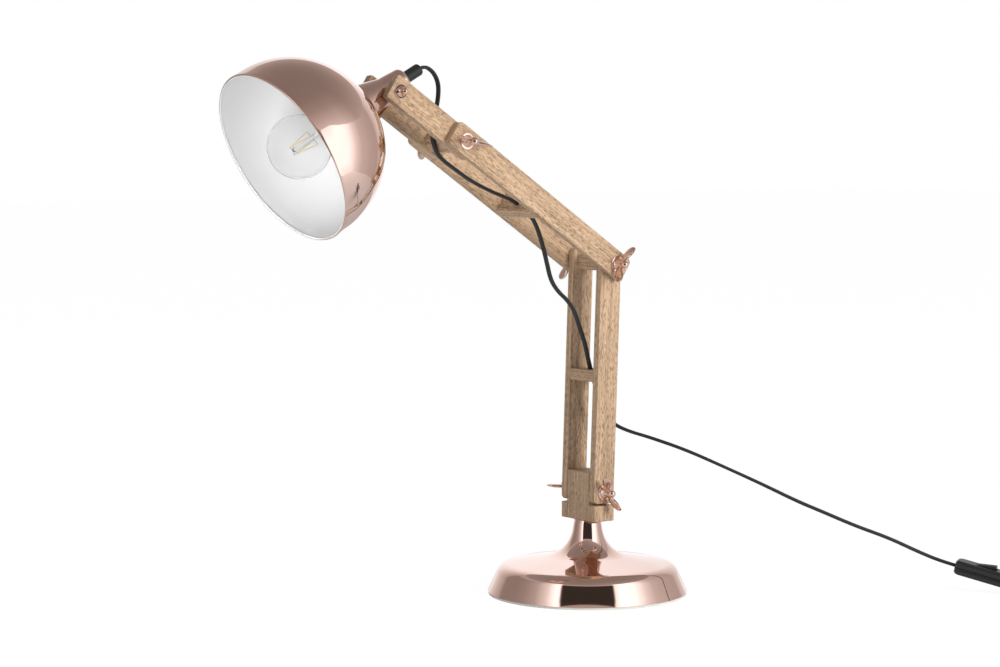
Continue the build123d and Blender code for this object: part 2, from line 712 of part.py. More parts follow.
def plug():
    coil_out, heading = coil_point(coil_turns), coil_heading(coil_turns, coil_turns)
    back = coil_out + heading * plug_lead_length
    frame = Plane(origin=back, x_dir=heading, z_dir=(0, 0, 1))
    half, tail = plug_width / 2, plug_tail_width / 2
    shoulder, front = plug_tail_length + 9, plug_length
    outline = [(plug_tail_length, -tail), (shoulder, -half), (front, -half), (front, half), (shoulder, half),
               (plug_tail_length, tail)]
    body = extrude(make_face(closed(outline)), plug_height / 2, both=True)
    body = fillet(body.edges().filter_by(Axis.Z), 2.0)
    body = fillet(body.edges().filter_by(lambda e: abs(e.center().Z) > plug_height * 0.4), 1.6)
    sleeve = loft([plug_section(0, 2.6 * cord_radius, 2.6 * cord_radius),
                   plug_section(plug_tail_length + 3, plug_tail_width, plug_tail_height)])
    pins = []
    for y in (-pin_spacing / 2, pin_spacing / 2):
        pin = Pos(front + pin_length / 2, y, 0) * Rot(0, 90, 0) * Cylinder(pin_radius, pin_length)
        pins.append(fillet(pin.faces().sort_by(Axis.X)[-1].edges(), pin_radius * 0.6))
    return {"plug_body": frame * (body + sleeve), "plug_pins": Compound(children=[frame * p for p in pins])}


def hardware():
    nodes = {}
    for name, pivot, face in (("base", base_pivot, lower_face), ("elbow", elbow_pivot, middle_face),
                              ("mid", mid_pivot, middle_face)):
        nodes[name + "_bolt"] = pivot_bolt(pivot, face)
        nodes[name + "_washers"] = pivot_washers(pivot, face)
    nodes["head_bolt"] = head_bolt()
    nodes["head_washer"] = head_washer()
    for name, pivot, face, side, lean in (
            ("base_nut_near", base_pivot, lower_face, -1, -26), ("base_nut_far", base_pivot, lower_face, 1, -85),
            ("elbow_nut_near", elbow_pivot, middle_face, -1, 30), ("elbow_nut_far", elbow_pivot, middle_face, 1, 14),
            ("mid_nut_near", mid_pivot, middle_face, -1, -75), ("mid_nut_far", mid_pivot, middle_face, 1, -20),
            ("head_nut_far", head_pivot, lower_face, 1, 35)):
        nodes[name] = pivot_nut(pivot, face, side, lean)
    return nodes


def main():
    nodes = {"base_shell": base_shell(), "base_weight": base_weight(), "base_pad": base_pad(),
             "base_stud": base_stud(), "base_nut": base_nut(), "base_washer": base_washer(),
             "base_block": base_block()}
    for group in (lower_arm(), middle_arm(), front_arm(), hardware(), head(), supply_cord(),
                  switch_shells(), {"rocker": rocker()}, plug()):
        nodes.update(group)
    os.makedirs("parts", exist_ok=True)
    for name, shape in nodes.items():
        export_step(shape, f"parts/{name}.step")
    print(len(nodes), "nodes")


main()
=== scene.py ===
"""Table lamp with swing arms: the finish of every piece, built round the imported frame.

Everything is in metres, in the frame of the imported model: +Z up, the lamp reaches towards -X, the pivots lie
along Y and -Y is the near side. Each piece is a surface worked out on a grid, in the frame's own places.
"""
import json
import math

import bmesh
import bpy
import numpy as np
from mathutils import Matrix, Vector

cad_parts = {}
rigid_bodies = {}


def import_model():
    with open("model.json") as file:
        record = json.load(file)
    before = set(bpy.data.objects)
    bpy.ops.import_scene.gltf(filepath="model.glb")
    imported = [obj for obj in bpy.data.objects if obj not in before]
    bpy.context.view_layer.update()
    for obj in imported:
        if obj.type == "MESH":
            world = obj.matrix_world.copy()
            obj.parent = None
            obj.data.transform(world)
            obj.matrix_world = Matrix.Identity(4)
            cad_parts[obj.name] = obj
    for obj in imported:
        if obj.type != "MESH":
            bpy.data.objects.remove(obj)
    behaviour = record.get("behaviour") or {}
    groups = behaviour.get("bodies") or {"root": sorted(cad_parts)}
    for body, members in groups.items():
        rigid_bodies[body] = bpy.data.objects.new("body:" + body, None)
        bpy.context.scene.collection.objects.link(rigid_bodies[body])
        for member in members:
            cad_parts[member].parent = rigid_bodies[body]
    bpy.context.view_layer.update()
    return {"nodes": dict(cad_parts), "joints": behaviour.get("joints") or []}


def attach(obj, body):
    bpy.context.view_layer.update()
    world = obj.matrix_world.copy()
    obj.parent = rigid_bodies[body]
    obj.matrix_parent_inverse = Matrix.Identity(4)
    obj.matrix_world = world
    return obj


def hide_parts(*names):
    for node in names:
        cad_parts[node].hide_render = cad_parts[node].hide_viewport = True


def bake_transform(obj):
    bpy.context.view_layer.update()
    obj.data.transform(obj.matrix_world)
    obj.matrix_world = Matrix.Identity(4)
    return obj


bl_info = {
    "name": "Table Lamp with Swing Arms",
    "version": (1, 0, 0),
    "blender": (4, 5, 0),
    "location": "3D View > Sidebar > Lamp",
    "description": "Builds a wooden swing-arm table lamp with a copper shade, base and hardware",
    "category": "Add Mesh",
}

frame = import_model()
MM = 0.001

# Places taken from the frame

PIVOTS = {joint["name"]: np.array(joint.get("pos_m", (0, 0, 0))) for joint in frame["joints"]}
BASE_PIVOT = PIVOTS["base_pivot"]
ELBOW_PIVOT = PIVOTS["elbow_pivot"]
MID_PIVOT = PIVOTS["mid_pivot"]
HEAD_PIVOT = PIVOTS["head_tilt"]


def lean_between(low, high):
    """The lean from upright towards +X, in radians, of the line from one pivot to the next."""
    run = high - low
    return math.atan2(run[0], run[2])


LOWER_LEAN = lean_between(BASE_PIVOT, ELBOW_PIVOT)
MIDDLE_LEAN = lean_between(ELBOW_PIVOT, MID_PIVOT)
FRONT_LEAN = lean_between(MID_PIVOT, HEAD_PIVOT)
HEAD_LEAN = math.radians(-118.35)

LOWER_LENGTH = float(np.linalg.norm(ELBOW_PIVOT - BASE_PIVOT))
MIDDLE_LENGTH = float(np.linalg.norm(MID_PIVOT - ELBOW_PIVOT))
FRONT_LENGTH = float(np.linalg.norm(HEAD_PIVOT - MID_PIVOT))


# Sizes and colours that a user would change


def size(text, default):
    """A length in metres, from a default in millimetres."""
    return bpy.props.FloatProperty(description=text, default=default * MM, min=0.0, unit="LENGTH",
                                   precision=5)


def colour(text, default):
    """A colour, from its shares of red, green and blue."""
    return bpy.props.FloatVectorProperty(description=text, default=default, size=3, min=0.0, max=1.0,
                                         subtype="COLOR")


def labelled(group):
    """Gives every property of a group a name for the panel, from its attribute."""
    for attribute, prop in group.__annotations__.items():
        prop.keywords["name"] = attribute.replace("_", " ").capitalize()
    return group


@labelled
class LampBaseSizes(bpy.types.PropertyGroup):
    """Sizes of the base."""

    radius: size("Radius of the base where its shell ends", 100.0)
    wall: size("Thickness of the shell", 1.5)
    pad_height: size("Thickness of the pale pad under the shell", 2.0)
    shoulder_radius: size("Radius of the shoulder's corner", 88.0)
    shoulder_height: size("Height of the shoulder's corner", 29.2)
    shoulder_round: size("Rounding of the shoulder", 15.0)
    flare_radius: size("Radius of the corner where the neck flares", 18.6)
    flare_height: size("Height of the corner where the neck flares", 41.9)
    flare_round: size("Rounding of the flare", 32.0)
    neck_radius: size("Radius of the neck's top", 13.2)
    neck_height: size("Height of the neck's top", 75.0)
    block_height: size("Height of the wooden block on the neck", 16.0)
    tenon_height: size("Height of the tenon above the block", 33.0)


@labelled
class LampArmSizes(bpy.types.PropertyGroup):
    """Sizes of the arms."""

    rail_width: size("Width of every rail", 25.0)
    rail_thickness: size("Thickness of every rail", 8.5)
    rail_round: size("Corner radius at a rail's ends", 5.0)
    head_round: size("Corner radius of the front rails at the head", 2.0)
    rail_edge: size("Softened edge of the wood", 0.8)
    inner_half_gap: size("From the middle to an inner rail", 18.0)
    slide_gap: size("Gap between pieces that slide on each other", 0.3)
    foot_gap: size("Gap between the lower rails and the block", 2.0)
    middle_past_elbow: size("How far a middle rail runs past the elbow", 14.0)
    middle_past_mid: size("How far a middle rail runs past the middle pivot", 17.0)
    front_past_mid: size("How far a front rail runs past the middle pivot", 17.0)
    lower_past_elbow: size("How far a lower rail runs past the elbow", 13.4)
    front_past_head: size("How far a front rail runs past the head's pivot", 10.2)
    spacer_thickness: size("Thickness of a flat cross spacer", 11.5)
    lower_spacer_at: size("Height of the cross spacer up the lower arm", 115.5)
    middle_spacer_at: size("Place of the cross spacer along the middle arm", 108.5)
    cord_hole: size("Radius of the cord's hole in a spacer", 6.5)
    dowel_radius: size("Radius of the round spacer about the middle pivot", 11.0)
    bar_width: size("Width of the square spacer about the elbow", 15.0)
    bar_round: size("Rounding of the square spacer's long edges", 2.5)


@labelled
class LampHardwareSizes(bpy.types.PropertyGroup):
    """Sizes of the pivots' nuts, bolts and washers."""

    bolt_radius: size("Radius of a pivot bolt", 3.0)
    washer_radius: size("Radius of a washer", 8.0)
    washer_thickness: size("Thickness of a washer", 1.3)
    hub_radius: size("Radius of a wing nut's hub where it sits", 5.9)
    hub_waist: size("Radius of the hub under its ball", 3.7)
    hub_flange: size("Height of the hub's straight foot", 0.8)
    ball_radius: size("Radius of the ball on a wing nut", 4.0)
    ball_height: size("Height of the ball's middle", 10.3)
    wing_reach: size("How far a wing reaches from the bolt", 17.8)
    wing_rise: size("How high a wing rises from the washer", 17.0)
    wing_width: size("Width of a wing", 11.0)
    wing_thickness: size("Thickness of a wing", 4.4)
    head_disc: size("Radius of the flange under the head bolt's dome", 6.8)
    head_radius: size("Radius of the head bolt's cone where it starts", 5.4)
    head_waist: size("Radius of the head bolt's cone under its ball", 2.9)
    head_ball: size("Radius of the head bolt's ball", 3.3)
    head_ball_height: size("Height of the head bolt's ball above its flange", 5.6)


@labelled
class LampHeadSizes(bpy.types.PropertyGroup):
    """Sizes of the shade, neck, lampholder and bulb."""

    shade_radius: size("Radius of the shade's mouth", 86.5)
    shade_wall: size("Thickness of the shade", 1.2)
    shade_apex: size("From the head's pivot to the shade's closed end", 31.0)
    shade_depth: size("Depth of the shade's round part", 85.2)
    shade_skirt: size("Length of the straight part at the mouth", 13.4)
    shade_bead: size("Radius of the bead rolled round the shade's mouth", 1.1)
    shade_hole: size("Radius of the hole for the lampholder", 16.0)
    neck_back: size("How far the neck cup runs behind the pivot", 25.0)
    neck_back_radius: size("Radius of the neck cup's closed end", 11.6)
    neck_back_round: size("Rounding of the neck cup's closed end", 4.5)
    neck_mid_radius: size("Radius of the neck cup at the pivot", 13.4)
    neck_front_radius: size("Radius of the neck cup at the shade", 22.5)
    neck_flare_round: size("Rounding where the neck cup flares to the shade", 30.0)
    neck_wall: size("Thickness of the neck cup", 1.2)
    bulb_radius: size("Radius of the bulb's ball", 30.0)
    bulb_tip: size("From the head's pivot to the bulb's tip", 137.5)
    bulb_length: size("Length of the bulb with its cap", 105.0)
    cap_radius: size("Radius of the bulb's screw cap", 13.2)
    cap_length: size("Length of the bulb's screw cap", 25.0)
    cap_back: size("From the head's pivot to the back of the bulb's cap", 32.5)
    holder_back: size("From the head's pivot to the lampholder's back", 18.0)
    holder_radius: size("Radius of the lampholder's body", 15.6)
    holder_skirt: size("Radius of the lampholder's threaded skirt", 19.0)
    holder_bore: size("Radius of the lampholder's bore", 14.0)
    holder_front: size("From the head's pivot to the lampholder's mouth", 61.0)
    ring_radius: size("Radius of the ring that clamps the shade", 24.0)
    ring_thickness: size("Thickness of the ring", 4.0)
    stem_radius: size("Radius of the bulb's glass stem", 2.0)
    filament_radius: size("Radius of a coated filament", 0.5)
    filament_back: size("From the head's pivot to the filaments' rear ends", 91.0)
    filament_back_offset: size("From the stem's middle to the filaments' rear ends", 8.0)
    filament_front: size("From the head's pivot to the filaments' front ends", 114.5)
    filament_front_offset: size("From the stem's middle to the filaments' front ends", 5.5)
    grip_radius: size("Radius of the cord grip", 5.9)
    grip_length: size("Length of the cord grip", 20.5)


@labelled
class LampCordSizes(bpy.types.PropertyGroup):
    """Sizes of the cord, switch and plug."""

    width: size("Width of the flat cord", 5.4)
    thickness: size("Thickness of the flat cord", 3.2)
    switch_length: size("Length of the inline switch", 62.0)
    switch_width: size("Width of the inline switch", 22.0)
    switch_height: size("Height of the inline switch", 14.5)
    rocker_length: size("Length of the rocker", 20.0)
    rocker_width: size("Width of the rocker", 9.0)
    rocker_height: size("Height of the rocker from its foot to its ends", 7.4)
    rocker_proud: size("How far the rocker stands out of the switch", 2.7)
    rocker_dish: size("Depth of the hollow along the rocker", 2.0)
    plug_width: size("Width of the plug", 35.0)
    plug_height: size("Height of the plug", 16.0)
    plug_length: size("Length of the plug's body with its sleeve", 46.0)
    sleeve_length: size("Length of the plug's tapering sleeve", 20.0)
    pin_radius: size("Radius of a plug pin", 2.0)
    pin_length: size("Length of a plug pin", 19.0)
    pin_spacing: size("Distance between the plug's pins", 18.6)


@labelled
class LampFinishes(bpy.types.PropertyGroup):
    """Colours of the materials."""

    copper: colour("Colour of the polished copper plate", (0.90, 0.66, 0.575))
    wood_light: colour("Colour of the wood between its grain lines", (0.62, 0.43, 0.277))
    wood_dark: colour("Colour of the wood's grain lines", (0.32, 0.20, 0.115))
    wood_pore: colour("Colour of the short dark pores", (0.13, 0.075, 0.04))
    shade_white: colour("Colour of the enamel inside the shade", (0.92, 0.92, 0.92))
    black: colour("Colour of the cord, switch, plug and holder", (0.011, 0.011, 0.011))
    filament: colour("Colour of the bulb's coated filaments", (0.96, 0.80, 0.42))


GROUPS = {"lamp_base": LampBaseSizes, "lamp_arms": LampArmSizes, "lamp_hardware": LampHardwareSizes,
          "lamp_head": LampHeadSizes, "lamp_cord": LampCordSizes, "lamp_finishes": LampFinishes}


def sizes(name):
    """The scene's values of one group."""
    return getattr(bpy.context.scene, name)


# Places and outlines


class Place:
    """A frame of its own for a piece: an origin and three axes as the columns of a matrix."""

    def __init__(self, origin, x_axis, y_axis, z_axis):
        self.origin = np.asarray(origin, float)
        self.axes = np.column_stack([x_axis, y_axis, z_axis]).astype(float)

    def __call__(self, surface):
        """A surface, as points and faces, put here: the axes' matrix times each point, plus the origin."""
        points, faces = surface
        return points @ self.axes.T + self.origin, faces


def leaning(pivot, lean):
    """A place at a pivot whose +Z leans from upright towards +X by an angle, with Y kept."""
    return Place(pivot, (math.cos(lean), 0, -math.sin(lean)), (0, 1, 0), (math.sin(lean), 0, math.cos(lean)))


def across(pivot, side, lean=0.0):
    """A place whose +Z points out along the bolt on one side, and whose +X leans from upright towards +X."""
    out = np.array((0.0, side, 0.0))
    up = np.array((math.sin(lean), 0.0, math.cos(lean)))
    return Place(pivot, up, np.cross(out, up), out)


UPRIGHT = Place((0, 0, 0), (1, 0, 0), (0, 1, 0), (0, 0, 1))
HEAD_PLACE = leaning(HEAD_PIVOT, HEAD_LEAN)


def arc(centre, radius, start, end, count):
    """Points on a circle: the centre plus the radius times the cosine and sine of evenly spaced angles."""
    angle = np.radians(np.linspace(start, end, count))
    return np.column_stack([centre[0] + radius * np.cos(angle), centre[1] + radius * np.sin(angle)])


def ring_section(inner, outer, low, high, lip, count=5):
    """The section of a turned ring or disc: a straight inside, and quarter circles at both outer rims."""
    return np.concatenate([[(inner, low)], arc((outer - lip, low + lip), lip, -90, 0, count),
                           arc((outer - lip, high - lip), lip, 0, 90, count), [(inner, high)]])


def rounded_path(points, radii, count):
    """An open outline with rounded corners. Each corner's arc has its centre on the bisector, at the radius
    divided by the sine of half the corner's angle, and touches both runs."""
    parts = [np.array(points[:1], float)]
    for a, b, c, radius in zip(points[:-2], points[1:-1], points[2:], radii):
        a, b, c = (np.array(p, float) for p in (a, b, c))
        back, ahead = unit(a - b), unit(c - b)
        half = 0.5 * math.acos(float(np.clip(back @ ahead, -1, 1)))
        centre = b + unit(back + ahead) * radius / math.sin(half)
        start, end = b + back * radius / math.tan(half), b + ahead * radius / math.tan(half)
        one = math.atan2(*(start - centre)[::-1])
        turn = (math.atan2(*(end - centre)[::-1]) - one + math.pi) % (2 * math.pi) - math.pi
        parts.append(arc(centre, radius, math.degrees(one), math.degrees(one + turn), count))
    parts.append(np.array(points[-1:], float))
    return np.concatenate(parts)


def unit(vectors):
    """Vectors divided by their lengths, one alone or one in each row."""
    return vectors / np.linalg.norm(vectors, axis=-1, keepdims=True)


def smooth_step(share):
    """Three times the square of a share less twice its cube."""
    return 3 * share ** 2 - 2 * share ** 3


def spread(line, step):
    """The same line with points added so that none lie further apart than the step."""
    runs = np.linalg.norm(np.diff(line, axis=0), axis=1)
    counts = np.maximum(1, np.ceil(runs / step)).astype(int)
    parts = [a + (b - a) * np.linspace(0, 1, n, endpoint=False)[:, None]
             for a, b, n in zip(line[:-1], line[1:], counts)]
    return np.concatenate(parts + [line[-1:]])


def shifted(line, distance):
    """An outline moved sideways: each point goes along the mean normal of its two runs."""
    run = np.gradient(line, axis=0)
    return line + distance * unit(np.column_stack([run[:, 1], -run[:, 0]]))


# Meshes

MATERIALS = {}
LEAST_CORNER = 0.05 * MM


def grid_quads(rows, columns, close_rows=False):
    """Quads of a grid of points. Every row is a closed ring, and where asked the last row joins the first."""
    r = np.arange(rows if close_rows else rows - 1)
    r, c = (part.ravel() for part in np.meshgrid(r, np.arange(columns), indexing="ij"))
    up, right = (r + 1) % rows, (c + 1) % columns
    return np.column_stack([r * columns + c, r * columns + right, up * columns + right, up * columns + c])


def skinned(rings, first=True, last=True):
    """The surface over a stack of rings, with a flat face on its first and last ring where wanted."""
    columns = len(rings[0])
    points = np.concatenate(rings)
    faces = grid_quads(len(rings), columns).tolist()
    if first:
        faces.append(list(range(columns)))
    if last:
        faces.append(list(range(len(points) - columns, len(points)))[::-1])
    return points, faces


def joined(*parts):
    """Several surfaces as one, with the faces' numbers moved on."""
    points, faces, count = [], [], 0
    for own_points, own_faces in parts:
        points.append(own_points)
        faces += ([int(corner) + count for corner in face] for face in own_faces)
        count += len(own_points)
    return np.concatenate(points), faces


def add_piece(name, surface, body, material, replaces=(), angle=40.0, grain=None):
    """A mesh object at the origin from a surface in the frame. Doubles at poles are merged, normals are
    turned out, and faces that meet at more than the angle show a crisp edge."""
    points, faces = surface
    mesh = bpy.data.meshes.new(name)
    mesh.from_pydata(points.tolist(), [], [list(face) for face in faces])
    if grain is not None:
        layer = mesh.attributes.new("grain", "FLOAT_VECTOR", "POINT")
        layer.data.foreach_set("vector", np.asarray(grain, np.float32).ravel())
    mend(mesh)
    mesh.polygons.foreach_set("use_smooth", np.full(len(mesh.polygons), True))
    if angle:
        mesh.set_sharp_from_angle(angle=math.radians(angle))
    piece = bpy.data.objects.new(name, mesh)
    bpy.context.scene.collection.objects.link(piece)
    for key in (material,) if isinstance(material, str) else material:
        mesh.materials.append(MATERIALS[key])
    if body:
        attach(piece, body)
    if replaces:
        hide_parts(*replaces)
    return piece


def mend(mesh):
    """Merges points that lie on each other and turns every face outwards."""
    work = bmesh.new()
    work.from_mesh(mesh)
    bmesh.ops.remove_doubles(work, verts=work.verts, dist=1e-6)
    bmesh.ops.recalc_face_normals(work, faces=work.faces)
    work.to_mesh(mesh)
    work.free()


def turned(profile, place, segments=96, closed=False):
    """A turned form: each profile point (radius, height) goes round the place's Z axis, at radius times
    cosine and sine of the angle."""
    profile = np.asarray(profile, float)
    angle = np.linspace(0, 2 * math.pi, segments, endpoint=False)
    x, y = profile[:, :1] * np.cos(angle), profile[:, :1] * np.sin(angle)
    points = np.stack([x, y, np.broadcast_to(profile[:, 1:], x.shape)], axis=-1).reshape(-1, 3)
    return place((points, grid_quads(len(profile), segments, closed)))


def turned_piece(name, profile, place, body, material, replaces=(), segments=96, closed=False, angle=40.0):
    """A piece that is turned from its profile."""
    add_piece(name, turned(profile, place, segments, closed), body, material, replaces, angle)


def rounded_loop(half_x, half_z, corner, inset=0.0, count=10, high_corner=None):
    """A rounded rectangle from four quarter arcs. The inset shrinks the outline and its radius together.
    The two high corners may have a radius of their own."""
    parts = []
    for turn, (sx, sz) in enumerate(((1, 1), (-1, 1), (-1, -1), (1, -1))):
        own = high_corner if high_corner is not None and sz > 0 else corner
        radius = max(own - inset, LEAST_CORNER)
        centre = (sx * (half_x - inset - radius), sz * (half_z - inset - radius))
        parts.append(arc(centre, radius, 90 * turn, 90 * turn + 90, count))
    return np.concatenate(parts)


def level(loop, height):
    """A loop of points in X and Y at a height."""
    return np.column_stack([loop, np.full(len(loop), height)])


def edge_steps(half_thickness, edge):
    """Insets and heights across a board's thickness: a quarter round of the edge's radius at each face."""
    angle = np.linspace(0, math.pi / 2, 5)
    inset = edge * (1 - np.sin(angle))
    height = half_thickness - edge * (1 - np.cos(angle))
    return np.concatenate([inset, inset[::-1]]), np.concatenate([height, -height[::-1]])


def board(half_x, half_y, low, high, corner, edge, offset=0.0, high_corner=None):
    """A board in its own place: a rounded rectangle in X and Z, carried along Y with its edges rounded."""
    middle, half_z = (low + high) / 2, (high - low) / 2
    rings = []
    for inset, y in zip(*edge_steps(half_y, edge)):
        loop = rounded_loop(half_x, half_z, corner, inset, 8, high_corner)
        rings.append(np.column_stack([loop[:, 0], np.full(len(loop), offset + y), loop[:, 1] + middle]))
    return skinned(rings)


def board_piece(name, shape, place, body, replaces, seed, grain_axes=(0, 1, 2)):
    """A wooden piece. Its grain attribute holds its own coordinates, moved by a seed so that no two match."""
    grain = shape[0][:, grain_axes] + np.array((0.31, 0.17, 0.53)) * seed
    add_piece(name, place(shape), body, "wood", replaces, 50.0, grain)


# Shader node groups and materials


def feed(tree, sockets, values):
    """Links each socket to its value where that is a socket too, and sets it where it is a number or a
    colour."""
    for socket, value in zip(sockets, values):
        if isinstance(value, bpy.types.NodeSocket):
            tree.links.new(value, socket)
        else:
            socket.default_value = value


def add_node(tree, kind, **settings):
    """A node of a kind, with its settings."""
    node = tree.nodes.new(kind)
    for key, value in settings.items():
        setattr(node, key, value)
    return node


def math_node(tree, operation, *values, clamp=False):
    """A Math node whose inputs are sockets or numbers."""
    node = add_node(tree, "ShaderNodeMath", operation=operation, use_clamp=clamp)
    feed(tree, node.inputs, values)
    return node.outputs[0]


def times(tree, one, two):
    """One value times another."""
    return math_node(tree, "MULTIPLY", one, two)


def ramp(tree, value, stops):
    """A Color Ramp in greys, from its places and tones."""
    node = add_node(tree, "ShaderNodeValToRGB")
    elements = node.color_ramp.elements
    while len(elements) < len(stops):
        elements.new(0.5)
    for element, (place, tone) in zip(elements, stops):
        element.position = place
        element.color = (tone, tone, tone, 1.0)
    feed(tree, node.inputs, (value,))
    return node.outputs["Color"]


def mix(tree, factor, one, two, blend="MIX"):
    """A Mix node for colours."""
    node = add_node(tree, "ShaderNodeMix", data_type="RGBA", blend_type=blend)
    feed(tree, (node.inputs[0], node.inputs[6], node.inputs[7]), (factor, one, two))
    return node.outputs[2]


def noise(tree, vector, scale, detail=3.0, rough=0.55):
    """A Noise Texture's value."""
    node = add_node(tree, "ShaderNodeTexNoise")
    labels = ("Vector", "Scale", "Detail", "Roughness")
    feed(tree, [node.inputs[label] for label in labels], (vector, scale, detail, rough))
    return node.outputs["Fac"]


def streaks(tree, vector, scale, detail=3.0, rough=0.6):
    """Noise on a vector that is scaled apart along its three axes."""
    node = add_node(tree, "ShaderNodeMapping")
    feed(tree, (node.inputs["Vector"], node.inputs["Scale"]), (vector, scale))
    return noise(tree, node.outputs["Vector"], 1.0, detail, rough)


def new_group(name, values):
    """An empty shader node group. A vector and the named values go in; a colour, roughness and height come
    out."""
    tree = bpy.data.node_groups.new(name, "ShaderNodeTree")
    tree.interface.new_socket("Vector", in_out="INPUT", socket_type="NodeSocketVector")
    for label, default in values.items():
        kind = "NodeSocketFloat" if isinstance(default, float) else "NodeSocketColor"
        tree.interface.new_socket(label, in_out="INPUT", socket_type=kind).default_value = default
    for label, kind in (("Color", "Color"), ("Roughness", "Float"), ("Height", "Float")):
        tree.interface.new_socket(label, in_out="OUTPUT", socket_type=f"NodeSocket{kind}")
    return tree, tree.nodes.new("NodeGroupInput").outputs, tree.nodes.new("NodeGroupOutput").inputs


def make_wood_group():
    """Straight-grained wood, stretched along Z: growth streaks, finer lines and short dark pores. The
    streaks are closer together through a board's thickness (Y) than across its face (X), and the pores
    gather in patches."""
    tree, given, put = new_group("Wood grain", {"Light": (0.7, 0.5, 0.3, 1), "Dark": (0.4, 0.3, 0.2, 1),
                                                "Pore": (0.2, 0.1, 0.05, 1)})
    vector = given["Vector"]
    sway = math_node(tree, "SUBTRACT", streaks(tree, vector, (25, 25, 9), 2.0, 0.55), 0.5)
    sideways = add_node(tree, "ShaderNodeCombineXYZ")
    feed(tree, sideways.inputs, [times(tree, sway, reach) for reach in (0.008, 0.004)])
    bend = add_node(tree, "ShaderNodeVectorMath", operation="ADD")
    feed(tree, bend.inputs, (vector, sideways.outputs[0]))
    bent = bend.outputs[0]
    growth = streaks(tree, bent, (230, 420, 5))
    lines = streaks(tree, bent, (900, 1400, 16), 2.0)
    patches = streaks(tree, vector, (45, 45, 14), 2.0, 0.5)
    pores = streaks(tree, bent, (1350, 2000, 210), 0.0, 0.5)
    gathered = times(tree, math_node(tree, "SUBTRACT", patches, 0.5), 0.30)
    pore_mask = ramp(tree, math_node(tree, "ADD", pores, gathered), ((0.55, 0.0), (0.64, 1.0)))
    tone = math_node(tree, "ADD", times(tree, growth, 0.55), times(tree, lines, 0.45))
    tone = ramp(tree, tone, ((0.38, 0.0), (0.62, 1.0)))
    base = mix(tree, times(tree, tone, 0.76), given["Light"], given["Dark"])
    feed(tree, (put["Color"], put["Roughness"], put["Height"]),
         (mix(tree, times(tree, pore_mask, 0.6), base, given["Pore"]),
          math_node(tree, "MULTIPLY_ADD", lines, 0.16, 0.46),
          math_node(tree, "SUBTRACT", times(tree, lines, 0.35), pore_mask)))
    return tree


def make_polish_group():
    """Polished plate: a slow change of tone, fine wipe marks in the roughness and a very shallow waviness."""
    tree, given, put = new_group("Polish", {"Color": (0.9, 0.6, 0.5, 1), "Roughness": 0.05})
    slow = noise(tree, given["Vector"], 14.0)
    wipes = streaks(tree, given["Vector"], (700, 90, 260))
    darker = mix(tree, 1.0, given["Color"], (0.93, 0.90, 0.88, 1), "MULTIPLY")
    feed(tree, (put["Color"], put["Roughness"], put["Height"]),
         (mix(tree, ramp(tree, slow, ((0.35, 0.0), (0.7, 1.0))), given["Color"], darker),
          math_node(tree, "ADD", times(tree, wipes, 0.035), given["Roughness"]), slow))
    return tree


def make_mould_group():
    """Moulded surface: a fine texture in its height, and slow changes of tone and roughness."""
    tree, given, put = new_group("Moulding", {"Color": (0.02, 0.02, 0.02, 1), "Roughness": 0.4,
                                              "Texture": 1800.0})
    slow = noise(tree, given["Vector"], 40.0, 2.0)
    lighter = mix(tree, 1.0, given["Color"], (0.006, 0.006, 0.006, 1), "ADD")
    rough = times(tree, math_node(tree, "SUBTRACT", slow, 0.5), 0.14)
    feed(tree, (put["Color"], put["Roughness"], put["Height"]),
         (mix(tree, slow, given["Color"], lighter), math_node(tree, "ADD", rough, given["Roughness"]),
          noise(tree, given["Vector"], given["Texture"], 2.0, 0.5)))
    return tree


def cleared(owner):
    """The empty node tree of a material or world."""
    owner.use_nodes = True
    owner.node_tree.nodes.clear()
    return owner.node_tree


def put_out(tree, shader, kind="ShaderNodeOutputMaterial"):
    """Sends a shader out as the surface."""
    tree.links.new(shader.outputs[0], add_node(tree, kind).inputs["Surface"])


def new_material(name):
    """The node tree and the Principled shader's inputs of a new material of the lamp."""
    MATERIALS[name] = bpy.data.materials.new(name)
    tree = cleared(MATERIALS[name])
    shader = add_node(tree, "ShaderNodeBsdfPrincipled")
    put_out(tree, shader)
    return tree, shader.inputs


def coordinates(tree, attribute=None):
    """The piece's own coordinates: its Object coordinates, or a named attribute."""
    if attribute:
        return add_node(tree, "ShaderNodeAttribute", attribute_name=attribute).outputs["Vector"]
    return add_node(tree, "ShaderNodeTexCoord").outputs["Object"]


def group_material(name, group, values, metallic=0.0, bump=0.0, depth=0.1, attribute=None):
    """A material whose colour, roughness and height come from a node group. The bump's depth is in
    millimetres."""
    tree, surface = new_material(name)
    node = add_node(tree, "ShaderNodeGroup", node_tree=group)
    feed(tree, (node.inputs["Vector"], surface["Metallic"]), (coordinates(tree, attribute), metallic))
    for label, value in values.items():
        node.inputs[label].default_value = value
    feed(tree, (surface["Base Color"], surface["Roughness"]), node.outputs[:2])
    if bump > 0:
        relief = add_node(tree, "ShaderNodeBump")
        feed(tree, [relief.inputs[label] for label in ("Strength", "Distance", "Height")],
             (bump, depth * MM, node.outputs["Height"]))
        tree.links.new(relief.outputs[0], surface["Normal"])


def make_glass(name, ior):
    """Clear glass with faint streaks in its roughness."""
    tree, surface = new_material(name)
    uneven = times(tree, noise(tree, coordinates(tree), 60.0, 2.0), 0.03)
    labels = ("Metallic", "Transmission Weight", "IOR", "Base Color", "Roughness")
    feed(tree, [surface[label] for label in labels], (0.0, 1.0, ior, (0.995, 0.995, 0.995, 1), uneven))


def paint(material, *nodes):
    """Gives nodes of the frame a material."""
    for node in nodes:
        mesh = frame["nodes"][node].data
        mesh.materials.clear()
        mesh.materials.append(MATERIALS[material])


